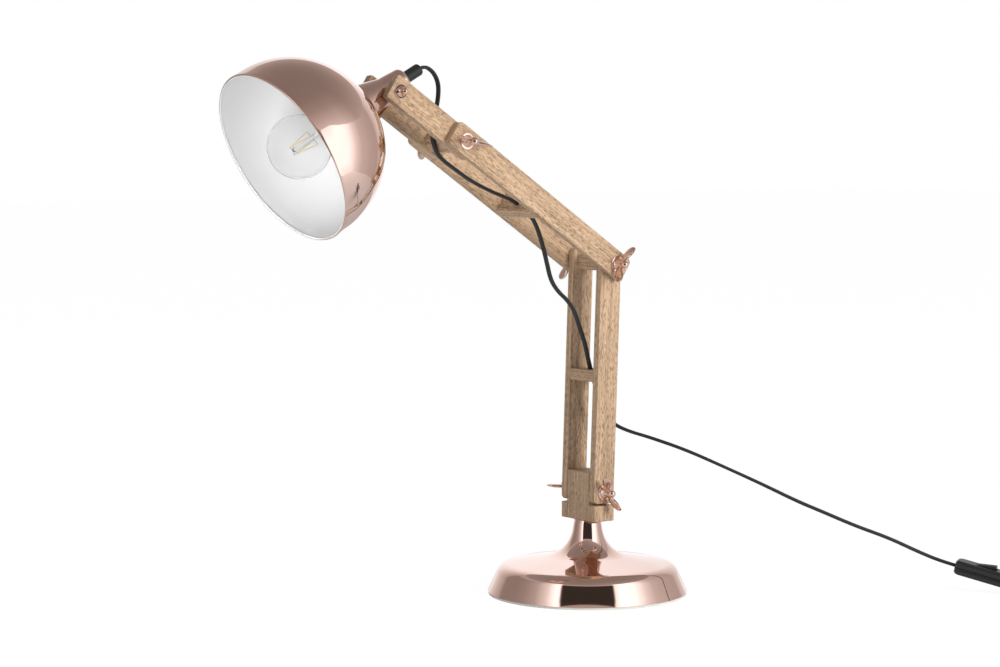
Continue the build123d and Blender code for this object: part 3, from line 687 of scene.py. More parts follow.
class LAMP_OT_finishes(bpy.types.Operator):
    """Makes the lamp's materials: wood, copper, enamel, plastic, glass and plain metals"""

    bl_idname = "lamp.finishes"
    bl_label = "Finishes"

    def execute(self, context):
        finish = sizes("lamp_finishes")
        wood, polish, mould = make_wood_group(), make_polish_group(), make_mould_group()
        grain = {"Light": finish.wood_light, "Dark": finish.wood_dark, "Pore": finish.wood_pore}
        grain = {label: (*tone, 1.0) for label, tone in grain.items()}
        group_material("wood", wood, grain, bump=0.5, depth=0.15, attribute="grain")
        plates = (("copper", finish.copper, 0.035, 0.02), ("zinc", (0.62, 0.62, 0.63), 0.28, 0.0),
                  ("nickel", (0.72, 0.70, 0.66), 0.14, 0.0), ("cap_metal", (0.80, 0.77, 0.70), 0.2, 0.0))
        for name, tone, rough, bump in plates:
            group_material(name, polish, {"Color": (*tone, 1.0), "Roughness": rough}, 1.0, bump, 0.2)
        moulded = (("iron", (0.055, 0.055, 0.058), 0.6, 420.0, 0.6, 0.5, 0.6),
                   ("pad", (0.72, 0.70, 0.66), 0.85, 900.0, 0.0, 0.6, 0.4),
                   ("enamel", finish.shade_white, 0.38, 700.0, 0.0, 0.04, 0.2),
                   ("plastic", finish.black, 0.36, 1500.0, 0.0, 0.12, 0.1),
                   ("sheath", finish.black, 0.42, 900.0, 0.0, 0.1, 0.1),
                   ("filament", finish.filament, 0.6, 2500.0, 0.0, 0.2, 0.1))
        for name, tone, rough, texture, metallic, bump, depth in moulded:
            values = {"Color": (*tone, 1.0), "Roughness": rough, "Texture": texture}
            group_material(name, mould, values, metallic, bump, depth)
        make_glass("glass", 1.16)
        make_glass("stem_glass", 1.5)
        return {"FINISHED"}


# Base


def base_outline(b):
    """The shell's outer outline from its foot to the neck's top, with rounded shoulder and flare."""
    corners = [(b.radius, b.pad_height), (b.shoulder_radius, b.shoulder_height),
               (b.flare_radius, b.flare_height), (b.neck_radius, b.neck_height)]
    return spread(rounded_path(corners, (b.shoulder_round, b.flare_round), 28), 4 * MM)


class LAMP_OT_base(bpy.types.Operator):
    """Makes the copper base shell with its pad, and paints the weight, stud, nut and washer"""

    bl_idname = "lamp.base"
    bl_label = "Base"

    def execute(self, context):
        b = sizes("lamp_base")
        lip, bore, pad_inset, pad_lip = 0.4 * MM, 5 * MM, 0.5 * MM, 0.35 * MM
        outer = base_outline(b)
        inner = shifted(outer, -b.wall)[::-1]
        neck_top = [(b.neck_radius, b.neck_height - lip), (b.neck_radius - lip, b.neck_height),
                    (bore, b.neck_height), (bore, b.neck_height - b.wall)]
        foot = arc((b.radius - lip, b.pad_height + lip), lip, -90, 0, 5)
        profile = np.concatenate([foot, outer[1:-1], neck_top, inner[2:-1],
                                  [(b.radius - b.wall, b.pad_height)]])
        turned_piece("base_shell_polished", profile, UPRIGHT, "base", "copper", ["base_shell"], 192, True,
                     35.0)
        pad = ring_section(0, b.radius - pad_inset, 0, b.pad_height, pad_lip)
        turned_piece("base_pad_soft", pad, UPRIGHT, "base", "pad", ["base_pad"], 160)
        paint("iron", "base_weight")
        paint("zinc", "base_stud", "base_nut", "base_washer")
        return {"FINISHED"}


class LAMP_OT_block(bpy.types.Operator):
    """Makes the wooden block and its tenon between the lower rails"""

    bl_idname = "lamp.block"
    bl_label = "Base Block"

    def execute(self, context):
        b, a = sizes("lamp_base"), sizes("lamp_arms")
        half_x, edge, overlap = a.rail_width / 2, a.rail_edge, 1 * MM
        shoulder = b.neck_height + b.block_height
        body = board(half_x, a.inner_half_gap + a.rail_thickness, b.neck_height, shoulder, edge, edge)
        tenon = board(half_x, a.inner_half_gap - a.slide_gap, shoulder - overlap,
                      shoulder + b.tenon_height, edge, edge)
        board_piece("base_block_wood", body, UPRIGHT, "base", ["base_block"], 1)
        board_piece("base_tenon_wood", tenon, UPRIGHT, "base", [], 1)
        return {"FINISHED"}


# Arms


def outer_gap(arms):
    """From the middle to a middle rail, which lies outside a lower rail."""
    return arms.inner_half_gap + arms.rail_thickness + arms.slide_gap


class LAMP_OT_rails(bpy.types.Operator):
    """Makes the six wooden rails"""

    bl_idname = "lamp.rails"
    bl_label = "Rails"

    def execute(self, context):
        b, a = sizes("lamp_base"), sizes("lamp_arms")
        foot = b.neck_height + b.block_height + a.foot_gap - BASE_PIVOT[2]
        arms = (("lower", BASE_PIVOT, LOWER_LEAN, foot, LOWER_LENGTH + a.lower_past_elbow, a.inner_half_gap,
                 a.rail_round),
                ("middle", ELBOW_PIVOT, MIDDLE_LEAN, -a.middle_past_elbow, MIDDLE_LENGTH + a.middle_past_mid,
                 outer_gap(a), a.rail_round),
                ("front", MID_PIVOT, FRONT_LEAN, -a.front_past_mid, FRONT_LENGTH + a.front_past_head,
                 a.inner_half_gap, a.head_round))
        seed = 2
        for name, pivot, lean, low, high, gap, high_round in arms:
            for side, word in ((-1, "near"), (1, "far")):
                shape = board(a.rail_width / 2, a.rail_thickness / 2, low, high, a.rail_round, a.rail_edge,
                              side * (gap + a.rail_thickness / 2), high_round)
                board_piece(f"{name}_rail_{word}_wood", shape, leaning(pivot, lean), f"{name}_arm",
                            [f"{name}_rail_{word}"], seed)
                seed += 1
        return {"FINISHED"}


def holed_board(half_x, half_y, half_z, hole, edge):
    """A flat cross piece about the place's origin with a round hole along Z. Rings run down the outside,
    across to the hole and up its wall: each point lies between the outer outline and the hole's circle."""
    count = 12
    outer = rounded_loop(half_x, half_y, edge, 0.0, count)
    angle = np.arctan2(outer[:, 1], outer[:, 0])
    circle = np.column_stack([np.cos(angle), np.sin(angle)])
    rings = [level(rounded_loop(half_x, half_y, edge, inset, count), height)
             for inset, height in zip(*edge_steps(half_z, edge))]
    rim = edge * 0.6
    lower_rim = np.array([(hole + rim, -half_z), (hole + 0.3 * rim, -half_z + 0.3 * rim),
                          (hole, -half_z + rim)])
    rings += [level(circle * r, h) for r, h in np.concatenate([lower_rim, (lower_rim * (1, -1))[::-1]])]
    return np.concatenate(rings), grid_quads(len(rings), len(outer), True)


class LAMP_OT_spacers(bpy.types.Operator):
    """Makes the flat cross spacers with their cord holes, the square bar at the elbow and the round dowel"""

    bl_idname = "lamp.spacers"
    bl_label = "Spacers"

    def execute(self, context):
        a = sizes("lamp_arms")
        lengthwise = (0, 2, 1)
        crosses = (("lower", BASE_PIVOT, LOWER_LEAN, a.lower_spacer_at, a.inner_half_gap),
                   ("middle", ELBOW_PIVOT, MIDDLE_LEAN, a.middle_spacer_at, outer_gap(a)))
        for seed, (name, pivot, lean, at, gap) in enumerate(crosses, 9):
            points, faces = holed_board(a.rail_width / 2, gap, a.spacer_thickness / 2, a.cord_hole,
                                        a.rail_edge)
            board_piece(f"{name}_spacer_wood", (points + (0, 0, at), faces), leaning(pivot, lean),
                        f"{name}_arm", [f"{name}_spacer"], seed, lengthwise)
        half, bar_edge = a.bar_width / 2, 0.3 * MM
        bar = board(half, a.inner_half_gap, -half, half, a.bar_round, bar_edge)
        board_piece("elbow_spacer_wood", bar, leaning(ELBOW_PIVOT, LOWER_LEAN), "lower_arm",
                    ["elbow_spacer"], 12, lengthwise)
        profile = ring_section(0, a.dowel_radius, -a.inner_half_gap, a.inner_half_gap, a.rail_edge)
        board_piece("front_spacer_wood", turned(spread(profile, 6 * MM), UPRIGHT, 48), across(MID_PIVOT, 1),
                    "front_arm", ["front_spacer"], 13)
        return {"FINISHED"}


# Hardware

NUTS = {"base_nut_near": -26, "base_nut_far": -85, "elbow_nut_near": 30, "elbow_nut_far": 14,
        "mid_nut_near": -75, "mid_nut_far": -20, "head_nut_far": 35}
WASHERS = (("base_washers", "lower_arm", BASE_PIVOT, (-1, 1)),
           ("elbow_washers", "middle_arm", ELBOW_PIVOT, (-1, 1)),
           ("mid_washers", "middle_arm", MID_PIVOT, (-1, 1)), ("head_washer", "front_arm", HEAD_PIVOT, (1,)))


def hub_profile(base, waist, ball, ball_height, lip):
    """A turned hub: a rounded foot, a hollow cone up to its waist and a ball on top."""
    start = math.degrees(math.asin(min(0.98, waist / ball)))
    neck_height = ball_height - ball * math.cos(math.radians(start))
    cone = np.linspace(0, 1, 8)[:, None]
    flange = arc((base - lip, lip), lip, -90, 60, 6)
    side = flange[-1] + (np.array((waist, neck_height)) - flange[-1]) * cone
    side[:, 0] -= 0.5 * MM * np.sin(math.pi * cone[:, 0])
    top = arc((0, ball_height), ball, start - 90, 90, 16)
    return np.concatenate([[(0, 0)], flange, side[1:-1], top])


def wing(h, turn):
    """One wing: an ellipse carried along a curve that leaves the hub and bends outwards. Its width grows
    from the root along a smooth step, and it ends round, as the square root of one less the square of the
    way into its tip."""
    u = np.concatenate([np.linspace(0, 0.8, 16), 0.8 + 0.2 * np.sin(np.linspace(0, math.pi / 2, 9)[1:])])
    root = np.array((1.4 * MM, 0.36 * h.wing_rise))
    bend = np.array((0.80 * h.wing_reach, 0.33 * h.wing_rise))
    tip = np.array((0.94 * h.wing_reach, 0.97 * h.wing_rise))
    line = ((1 - u) ** 2)[:, None] * root + (2 * u * (1 - u))[:, None] * bend + (u ** 2)[:, None] * tip
    run = unit((2 * (1 - u))[:, None] * (bend - root) + (2 * u)[:, None] * (tip - bend))
    grown = 0.6
    end = np.sqrt(1 - np.clip((u - grown) / (1 - grown), 0, 1) ** 2)
    width = 0.5 * h.wing_width * (0.72 + 0.28 * smooth_step(np.clip(u / grown, 0, 1))) * end
    thick = 0.5 * h.wing_thickness * (1.05 - 0.3 * u) * end
    v = np.linspace(0, 2 * math.pi, 20, endpoint=False)
    across_x = line[:, :1] - run[:, 1:] * width[:, None] * np.cos(v)
    across_z = line[:, 1:] + run[:, :1] * width[:, None] * np.cos(v)
    side = thick[:, None] * np.sin(v)
    return skinned(np.stack([across_x * turn, side * turn, across_z], axis=-1), last=False)


def face_of(body, arms):
    """How far the outer face of an arm's rails lies from the middle."""
    return arms.rail_thickness + (outer_gap(arms) if body == "middle_arm" else arms.inner_half_gap)


class LAMP_OT_hardware(bpy.types.Operator):
    """Makes the washers, the seven wing nuts and the head's domed bolt, and finishes the pivot bolts"""

    bl_idname = "lamp.hardware"
    bl_label = "Pivot Hardware"

    def execute(self, context):
        h, a = sizes("lamp_hardware"), sizes("lamp_arms")
        washer_lip, seat_gap, segments = 0.3 * MM, 0.1 * MM, 48
        section = ring_section(h.bolt_radius, h.washer_radius, 0, h.washer_thickness, washer_lip)
        for node, body, pivot, sides in WASHERS:
            rings = [turned(section, across(pivot + (0, side * face_of(body, a), 0), side), segments, True)
                     for side in sides]
            add_piece(f"{node}_plated", joined(*rings), body, "copper", [node], 35.0)
        hub = hub_profile(h.hub_radius, h.hub_waist, h.ball_radius, h.ball_height, h.hub_flange / 2)
        nut = joined(turned(hub, UPRIGHT, segments), wing(h, 1), wing(h, -1))
        for joint in frame["joints"]:
            name = joint["child"]
            if name not in NUTS:
                continue
            side = 1 if name.endswith("far") else -1
            seat = face_of(joint["parent"], a) + h.washer_thickness + seat_gap
            at = (joint["pos_m"][0], side * seat, joint["pos_m"][2])
            place = across(at, side, math.radians(NUTS[name]))
            add_piece(f"{name}_cast", place(nut), name, "copper", [name], 60.0)
        edge = 0.4 * h.washer_thickness
        disc = [(0, 0), (h.head_disc, 0)]
        rim = arc((h.head_disc - edge, h.washer_thickness - edge), edge, 0, 90, 5)
        dome = hub_profile(h.head_radius, h.head_waist, h.head_ball, h.head_ball_height, h.hub_flange / 2)
        turned_piece("head_bolt_dome", np.concatenate([disc, rim, dome[1:] + (0, h.washer_thickness)]),
                     across(HEAD_PIVOT - (0, face_of("front_arm", a), 0), -1), "front_arm", "copper",
                     segments=segments, angle=60.0)
        paint("zinc", "base_bolt", "elbow_bolt", "mid_bolt")
        paint("copper", "head_bolt")
        return {"FINISHED"}


# Head


def shade_outline(s, inset):
    """The shade from its hole to its mouth: an ellipse's quarter, then the straight skirt."""
    centre = s.shade_apex + s.shade_depth
    radius, depth = s.shade_radius - inset, s.shade_depth - inset
    angle = np.linspace(math.asin(s.shade_hole / radius), math.pi / 2, 64)
    cap = np.column_stack([radius * np.sin(angle), centre - depth * np.cos(angle)])
    skirt = np.column_stack([np.full(4, radius), centre + s.shade_skirt * np.linspace(0.25, 1, 4)])
    return np.concatenate([cap, skirt])


def cap_rise(s, radius):
    """How far the shade's outside lies beyond its apex at a radius."""
    return s.shade_depth * (1 - math.sqrt(1 - (radius / s.shade_radius) ** 2))


def seat_on_shade(s, radius):
    """How far from the head's pivot a flat ring of that radius clears the shade's inside."""
    return s.shade_apex + s.shade_wall + cap_rise(s, radius) + 0.3 * MM


class LAMP_OT_shade(bpy.types.Operator):
    """Makes the bowl shade, copper outside and white inside"""

    bl_idname = "lamp.shade"
    bl_label = "Shade"

    def execute(self, context):
        s = sizes("lamp_head")
        outer, inner = shade_outline(s, 0.0), shade_outline(s, s.shade_wall)[::-1]
        bead, bead_end, copper_rows, segments = s.shade_bead, 245, 6, 192
        outer[-1, 1] -= bead
        inner[0, 1] -= 2.2 * bead
        rim = arc((s.shade_radius - bead, outer[-1, 1]), bead, 0, bead_end, 18)[1:]
        profile = np.concatenate([outer, rim, inner])
        shade = turned(profile, HEAD_PLACE, segments, True)
        piece = add_piece("shade_spun", shade, "head", ("copper", "enamel"), ["shade"], 60.0)
        rows = np.arange(len(shade[1])) // segments
        inside = (rows >= len(outer) + copper_rows) & (rows < len(profile) - 1)
        piece.data.polygons.foreach_set("material_index", inside.astype(np.int32))
        return {"FINISHED"}


class LAMP_OT_neck(bpy.types.Operator):
    """Makes the copper neck cup, the lampholder, its ring and the cord grip"""

    bl_idname = "lamp.neck"
    bl_label = "Neck and Lampholder"

    def execute(self, context):
        s, a = sizes("lamp_head"), sizes("lamp_arms")
        bore = 5 * MM
        front = s.shade_apex + cap_rise(s, s.neck_front_radius - s.neck_wall) - 0.3 * MM
        corners = [(bore, -s.neck_back), (s.neck_back_radius, -s.neck_back), (s.neck_mid_radius, 0),
                   (s.neck_front_radius, front)]
        outer = rounded_path(corners, (s.neck_back_round, s.neck_flare_round), 16)
        inner = shifted(outer, -s.neck_wall)[::-1]
        inner[-1, 0] = bore
        inner[0] = (s.neck_front_radius - s.neck_wall, front)
        turned_piece("neck_cup", np.concatenate([outer, inner]), HEAD_PLACE, "head", "copper", ["neck"], 128,
                     True)
        half = a.inner_half_gap - 0.15 * MM
        boss = ring_section(3.2 * MM, 8.0 * MM, -half, half, 0.4 * MM, 4)
        turned_piece("neck_boss", boss, across(HEAD_PIVOT, 1), "head", "copper", segments=64, closed=True)
        end, lip = -s.neck_back - s.grip_length, 2.2 * MM
        grip = np.concatenate([[(0, end)], arc((s.grip_radius - lip, end + lip), lip, -90, 0, 10),
                               [(s.grip_radius, -s.neck_back), (0, -s.neck_back)]])
        turned_piece("cord_grip_moulded", grip, HEAD_PLACE, "head", "plastic", ["cord_grip"], 64)
        skirt_back, lip = seat_on_shade(s, s.holder_skirt), 0.6 * MM
        thread = thread_steps(s.holder_skirt, skirt_back + 4 * MM, s.holder_front - 9 * MM)
        holder = np.concatenate([[(s.holder_bore, s.cap_back), (0, s.cap_back), (0, s.holder_back)],
                                 arc((s.holder_radius - lip, s.holder_back + lip), lip, -90, 0, 5),
                                 [(s.holder_radius, skirt_back), (s.holder_skirt - lip, skirt_back)], thread,
                                 arc((s.holder_skirt - lip, s.holder_front - lip), lip, 0, 90, 5),
                                 [(s.holder_bore + lip, s.holder_front),
                                  (s.holder_bore, s.holder_front - lip)]])
        turned_piece("lampholder_moulded", holder, HEAD_PLACE, "head", "plastic", ["lampholder"], 96, True)
        ring = ring_with_grips(s, seat_on_shade(s, s.ring_radius))
        add_piece("shade_ring_moulded", HEAD_PLACE(ring), "head", "plastic", ["shade_ring"])
        return {"FINISHED"}


def thread_steps(radius, low, high):
    """Shallow rounded thread turns along a skirt: the radius less a small height times a raised cosine."""
    pitch, depth = 2.6 * MM, 0.55 * MM
    height = np.linspace(low, high, 61)
    wave = 0.5 - 0.5 * np.cos(2 * math.pi * (height - low) / pitch)
    return np.column_stack([radius - depth * wave, height])


def ring_with_grips(s, low):
    """The ring that clamps the shade: a turned ring whose outer radius swells in small grips round its rim,
    as a cosine of twenty-four times the angle, flattened."""
    inner, outer, grip_depth = s.holder_skirt + 0.2 * MM, s.ring_radius, 0.7 * MM
    section = ring_section(inner, outer, low, low + s.ring_thickness, 0.5 * MM, 4)
    points, faces = turned(section, UPRIGHT, 192, True)
    angle = np.arctan2(points[:, 1], points[:, 0])
    radius = np.hypot(points[:, 0], points[:, 1])
    outside = np.clip((radius - inner) / (outer - inner), 0, 1) ** 4
    swell = np.clip(2.5 * np.cos(24 * angle), -1, 1)
    factor = 1 - outside * (0.5 - 0.5 * swell) * grip_depth / radius
    return points * np.column_stack([factor, factor, np.ones_like(factor)]), faces


class LAMP_OT_bulb(bpy.types.Operator):
    """Makes the clear bulb with its cap, stem and four coated filaments"""

    bl_idname = "lamp.bulb"
    bl_label = "Bulb"

    def execute(self, context):
        s = sizes("lamp_head")
        cap_back = s.bulb_tip - s.bulb_length
        cap_front = cap_back + s.cap_length
        glass_wall = 0.8 * MM
        centre = s.bulb_tip - s.bulb_radius
        outer, inner = (bulb_outline(s.bulb_radius - wall, s.cap_radius - wall, centre, cap_front)
                        for wall in (0.0, glass_wall))
        turned_piece("bulb_glass_blown", np.concatenate([outer, inner[::-1]]), HEAD_PLACE, "head", "glass",
                     ["bulb_glass"], 128, True, 70.0)
        contact = [(s.cap_radius * share, cap_back + rise * MM)
                   for share, rise in ((0, 0), (0.35, 0), (0.4, 0.5), (0.75, 2), (0.95, 4))]
        thread = thread_steps(s.cap_radius, cap_back + 4.2 * MM, cap_front - 3 * MM)
        mouth = [(s.cap_radius, cap_front), (s.cap_radius - 1.2 * MM, cap_front), (0, cap_front)]
        cap = np.concatenate([contact, thread, mouth])
        turned_piece("bulb_cap_pressed", cap, HEAD_PLACE, "head", "cap_metal", ["bulb_cap"], 96)
        tip, flare, wide = s.filament_front + 1 * MM, s.filament_back - 6 * MM, s.cap_radius * 0.6
        u = np.linspace(0, 1, 16)
        foot = np.column_stack([s.stem_radius + (wide - s.stem_radius) * (1 - u) ** 2.2,
                                cap_front + (flare - cap_front) * u])
        dome = arc((0, tip - s.stem_radius), s.stem_radius, 0, 90, 8)
        stem = np.concatenate([[(0, cap_front)], foot, dome])
        turned_piece("bulb_stem_drawn", stem, HEAD_PLACE, "head", "stem_glass", ["bulb_stem"], 40)
        strips, wires = filament_parts(s)
        add_piece("bulb_filament_strips", HEAD_PLACE(strips), "head", "filament", ["bulb_filaments"], 60.0)
        add_piece("bulb_wires", HEAD_PLACE(wires), "head", "nickel", angle=60.0)
        return {"FINISHED"}


def round_bar(start, end, radius, sides, rounding=0.0):
    """A straight round bar: circles square to the run between its ends, drawn in at the ends by the
    rounding."""
    start, end = np.asarray(start, float), np.asarray(end, float)
    length = np.linalg.norm(end - start)
    run = (end - start) / length
    side = unit(np.cross(run, (0, 0, 1) if abs(run[2]) < 0.9 else (1, 0, 0)))
    turn = np.linspace(0, math.pi / 2, 5)
    cap = np.column_stack([radius - rounding * (1 - np.sin(turn)), rounding * (1 - np.cos(turn))])
    profile = np.concatenate([[(0, 0)], cap, [(radius, length / 2)], (cap * (1, -1) + (0, length))[::-1],
                              [(0, length)]])
    return turned(profile, Place(start, side, np.cross(run, side), run), sides)


def filament_parts(s):
    """Four coated strips round the stem, and the wires at both ends of each, from evenly spaced angles."""
    wire_radius, wire_foot = 0.3 * MM, 0.7 * s.stem_radius
    strips, wires = [], []
    for i in range(4):
        angle = 2 * math.pi * i / 4 + math.pi / 5
        ends = []
        for turn, offset, at in ((angle, s.filament_back_offset, s.filament_back),
                                 (angle + math.pi / 7, s.filament_front_offset, s.filament_front)):
            ends.append((offset * math.cos(turn), offset * math.sin(turn), at))
            foot = (wire_foot * math.cos(turn), wire_foot * math.sin(turn), at)
            wires.append(round_bar(foot, ends[-1], wire_radius, 8))
        strips.append(round_bar(*ends, s.filament_radius, 12, s.filament_radius * 0.5))
    return joined(*strips), joined(*wires)


def bulb_outline(radius, throat, centre, cap_front):
    """The bulb from its tip round to its throat: an arc, then a smooth curve in to the cap.
    The curve is a cubic between the arc's end and the throat, with the arc's slope at its start."""
    turn = math.radians(125)
    angle = np.linspace(0, turn, 48)
    ball = np.column_stack([radius * np.sin(angle), centre + radius * np.cos(angle)])
    start, end = ball[-1], np.array((throat, cap_front))
    slope = np.array((math.cos(turn), -math.sin(turn)))
    reach = 0.45 * np.linalg.norm(end - start)
    t = np.linspace(0, 1, 16)[1:, None]
    curve = ((1 - t) ** 3 * start + 3 * t * (1 - t) ** 2 * (start + slope * reach)
             + 3 * t ** 2 * (1 - t) * (end + np.array((0, reach))) + t ** 3 * end)
    return np.concatenate([ball, curve])


# Cord, with its places in millimetres

GRIP_END, FRONT_TIE, MIDDLE_HOLE, LOWER_HOLE = 45.5, 18.0, 108.5, 115.5


def along(pivot, lean, distance, offset=0.0):
    """A point in millimetres along a piece that leans from a pivot, offset across it towards +X."""
    return tuple(pivot / MM + (distance * math.sin(lean) + offset * math.cos(lean), 0.0,
                               distance * math.cos(lean) - offset * math.sin(lean)))


def grip_point(onward):
    """A point on the cord past the end of its grip."""
    return along(HEAD_PIVOT, HEAD_LEAN, -GRIP_END - onward)


def front_point(onward):
    """A point on the cord past the place where the front arm carries it, aslant to the arm."""
    return along(MID_PIVOT, FRONT_LEAN, FRONT_TIE - 0.56 * onward, -0.83 * onward)


def middle_point(onward):
    """A point on the cord past the middle spacer's hole, along the arm."""
    return along(ELBOW_PIVOT, MIDDLE_LEAN, MIDDLE_HOLE - onward, -3.8)


def lower_point(onward):
    """A point on the cord past the lower spacer's hole, aslant to the arm."""
    return along(BASE_PIVOT, LOWER_LEAN, LOWER_HOLE - 0.94 * onward, 1.05 + 0.34 * onward)


SWITCH_END, SWITCH_HALF = np.array((303.0, -215.5, 26.0)), 31.0
SWITCH_HEADING, SWITCH_DIP = math.radians(-56.0), math.radians(13.5)
SWITCH_AHEAD = np.array((math.cos(SWITCH_HEADING) * math.cos(SWITCH_DIP),
                         math.sin(SWITCH_HEADING) * math.cos(SWITCH_DIP), -math.sin(SWITCH_DIP)))
SWITCH_ABOVE = np.array((math.cos(SWITCH_HEADING) * math.sin(SWITCH_DIP),
                         math.sin(SWITCH_HEADING) * math.sin(SWITCH_DIP), math.cos(SWITCH_DIP)))
SWITCH_SIDE = np.cross(SWITCH_ABOVE, SWITCH_AHEAD)
SWITCH_PLACE = Place((SWITCH_END + SWITCH_AHEAD * SWITCH_HALF) * MM, SWITCH_AHEAD, SWITCH_SIDE, SWITCH_ABOVE)


def switch_point(distance):
    """A point on the line through the switch, from its near end."""
    return tuple(SWITCH_END + SWITCH_AHEAD * distance)


HEAD_ROUTE = [grip_point(0), grip_point(5.5), (-191.9, 0, 521.4), (-186.3, 0, 515.6), (-182.9, 0, 507.8),
              (-182.8, 0, 497.6), (-184.8, 0, 487.0), (-187.5, 0, 476.5), front_point(-5), front_point(0)]
FRONT_ROUTE = [front_point(0), front_point(6), (-188.4, 0, 450.6), (-184.5, 0, 441.8), (-177.3, 0, 435.0),
               (-165.9, 0, 428.0), (-152.2, 0, 419.5), (-137.2, 0, 411.8), (-121.9, 0, 405.4),
               (-109.7, 0, 401.0), middle_point(-14), middle_point(0)]
MIDDLE_ROUTE = [middle_point(0), middle_point(14), (-64.5, 0, 369.4), (-57.6, 0, 352.1), (-52.2, 0, 334.0),
                (-47.4, 0, 316.5), (-38.1, 0, 304.6), (-26.5, 0, 295.9), (-17.4, 0, 284.6), (-10.7, 0, 268.2),
                (-3.4, 0, 250.5), lower_point(-16), lower_point(0)]
LOWER_ROUTE = [lower_point(0), along(BASE_PIVOT, LOWER_LEAN, 103.3, 6.9), (13.4, -1.6, 190.0),
               (17.6, -5.6, 177.6), (27.0, -12.0, 167.8), (39.6, -21.0, 161.4), (53.4, -30.5, 156.6),
               (83.5, -52.0, 143.7), (114.2, -74.2, 126.8), (147.7, -98.2, 107.9), (174.8, -117.9, 91.4),
               (198.1, -134.8, 79.3), (222.9, -152.8, 66.0), (251.3, -172.4, 53.4), (276.6, -189.0, 39.0),
               switch_point(-16), switch_point(0)]
COIL_CENTRE, COIL_RADIUS, COIL_PITCH, COIL_START = (405.0, -305.0), 44.0, 5.4, -120.0
COIL_IN, COIL_OUT, COIL_CLIMB = 2.75, 2.25, 0.5
COIL_LOW, COIL_RISE = 2.75, 5.7
LEAD_LENGTH = 42.0


def coil_points(turns):
    """Places on the coil: the radius falls by the pitch each turn and grows again, while a smooth step in the
    half turn about the reversal lifts the cord by one layer."""
    inward, outward = np.minimum(turns, COIL_IN), np.maximum(turns - COIL_IN, 0)
    climb = np.clip((outward + COIL_CLIMB / 2 - (COIL_IN - inward)) / COIL_CLIMB, 0, 1)
    radius = COIL_RADIUS - COIL_PITCH * inward + COIL_PITCH * outward
    angle = math.radians(COIL_START) + 2 * math.pi * turns
    return np.column_stack([COIL_CENTRE[0] + radius * np.cos(angle), COIL_CENTRE[1] + radius * np.sin(angle),
                            COIL_LOW + COIL_RISE * smooth_step(climb)])


def rest_route():
    """From the switch to the coil, round it and out to the plug."""
    coil = coil_points(np.linspace(0, COIL_IN + COIL_OUT, 91))
    lead = [coil[-1] + unit(coil[-1] - coil[-2]) * LEAD_LENGTH * share for share in (0.25, 0.6, 1.0)]
    past_switch, before_coil = 9, 15
    tail = [switch_point(2 * SWITCH_HALF), switch_point(2 * SWITCH_HALF + past_switch), (349.0, -300.0, 5.2),
            (356.0, -321.0, 2.9), coil[0] - unit(coil[1] - coil[0]) * before_coil]
    return np.concatenate([tail, coil, lead])


def nurbs_line(route):
    """The points of the smooth line whose control points are the route."""
    curve = bpy.data.curves.new("route", "CURVE")
    curve.dimensions = "3D"
    curve.resolution_u = 12
    spline = curve.splines.new("NURBS")
    spline.points.add(len(route) - 1)
    control = np.column_stack([np.asarray(route, float) * MM, np.ones(len(route))])
    spline.points.foreach_set("co", control.ravel())
    spline.order_u = 3
    spline.use_endpoint_u = True
    holder = bpy.data.objects.new("route", curve)
    mesh = bpy.data.meshes.new_from_object(holder)
    line = np.empty(len(mesh.vertices) * 3)
    mesh.vertices.foreach_get("co", line)
    bpy.data.meshes.remove(mesh)
    bpy.data.objects.remove(holder)
    bpy.data.curves.remove(curve)
    return line.reshape(-1, 3)


def flat_section(c):
    """The flat cord's section: two half circles joined by flats, with a shallow groove down each flat."""
    edge = c.thickness / 2
    angle = np.linspace(-math.pi / 2, math.pi / 2, 10)
    end = np.column_stack([c.width / 2 - edge + edge * np.cos(angle), edge * np.sin(angle)])
    groove = np.array([(0.5 * MM, edge * 0.98), (0.0, edge * 0.9), (-0.5 * MM, edge * 0.98)])
    return np.concatenate([end, groove, -end, -groove])


def lay_cord(name, route, stops, bodies, replaced, pieces, joints=(), **told):
    """The flat cord along a route. At each point its width runs along a direction blended between the stops
    (share of the length, direction), made square to the line; the thickness is square to both. The cord
    rides on its body, or, where joints are named, stays in the frame's places without a body."""
    c = sizes("lamp_cord")
    line = nurbs_line(route)
    run = unit(np.gradient(line, axis=0))
    length = np.concatenate([[0], np.cumsum(np.linalg.norm(np.diff(line, axis=0), axis=1))])
    places = [stop for stop, _ in stops]
    wide = np.column_stack([np.interp(length / length[-1], places, [way[k] for _, way in stops])
                            for k in range(3)])
    wide = unit(wide - (wide * run).sum(1)[:, None] * run)
    thick = np.cross(run, wide)
    section = flat_section(c)
    points = line[:, None] + wide[:, None] * section[None, :, :1] + thick[:, None] * section[None, :, 1:]
    piece = add_piece(name, skinned(points), None, "sheath", replaced, None)
    if joints:
        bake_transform(piece)
    else:
        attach(piece, *bodies)


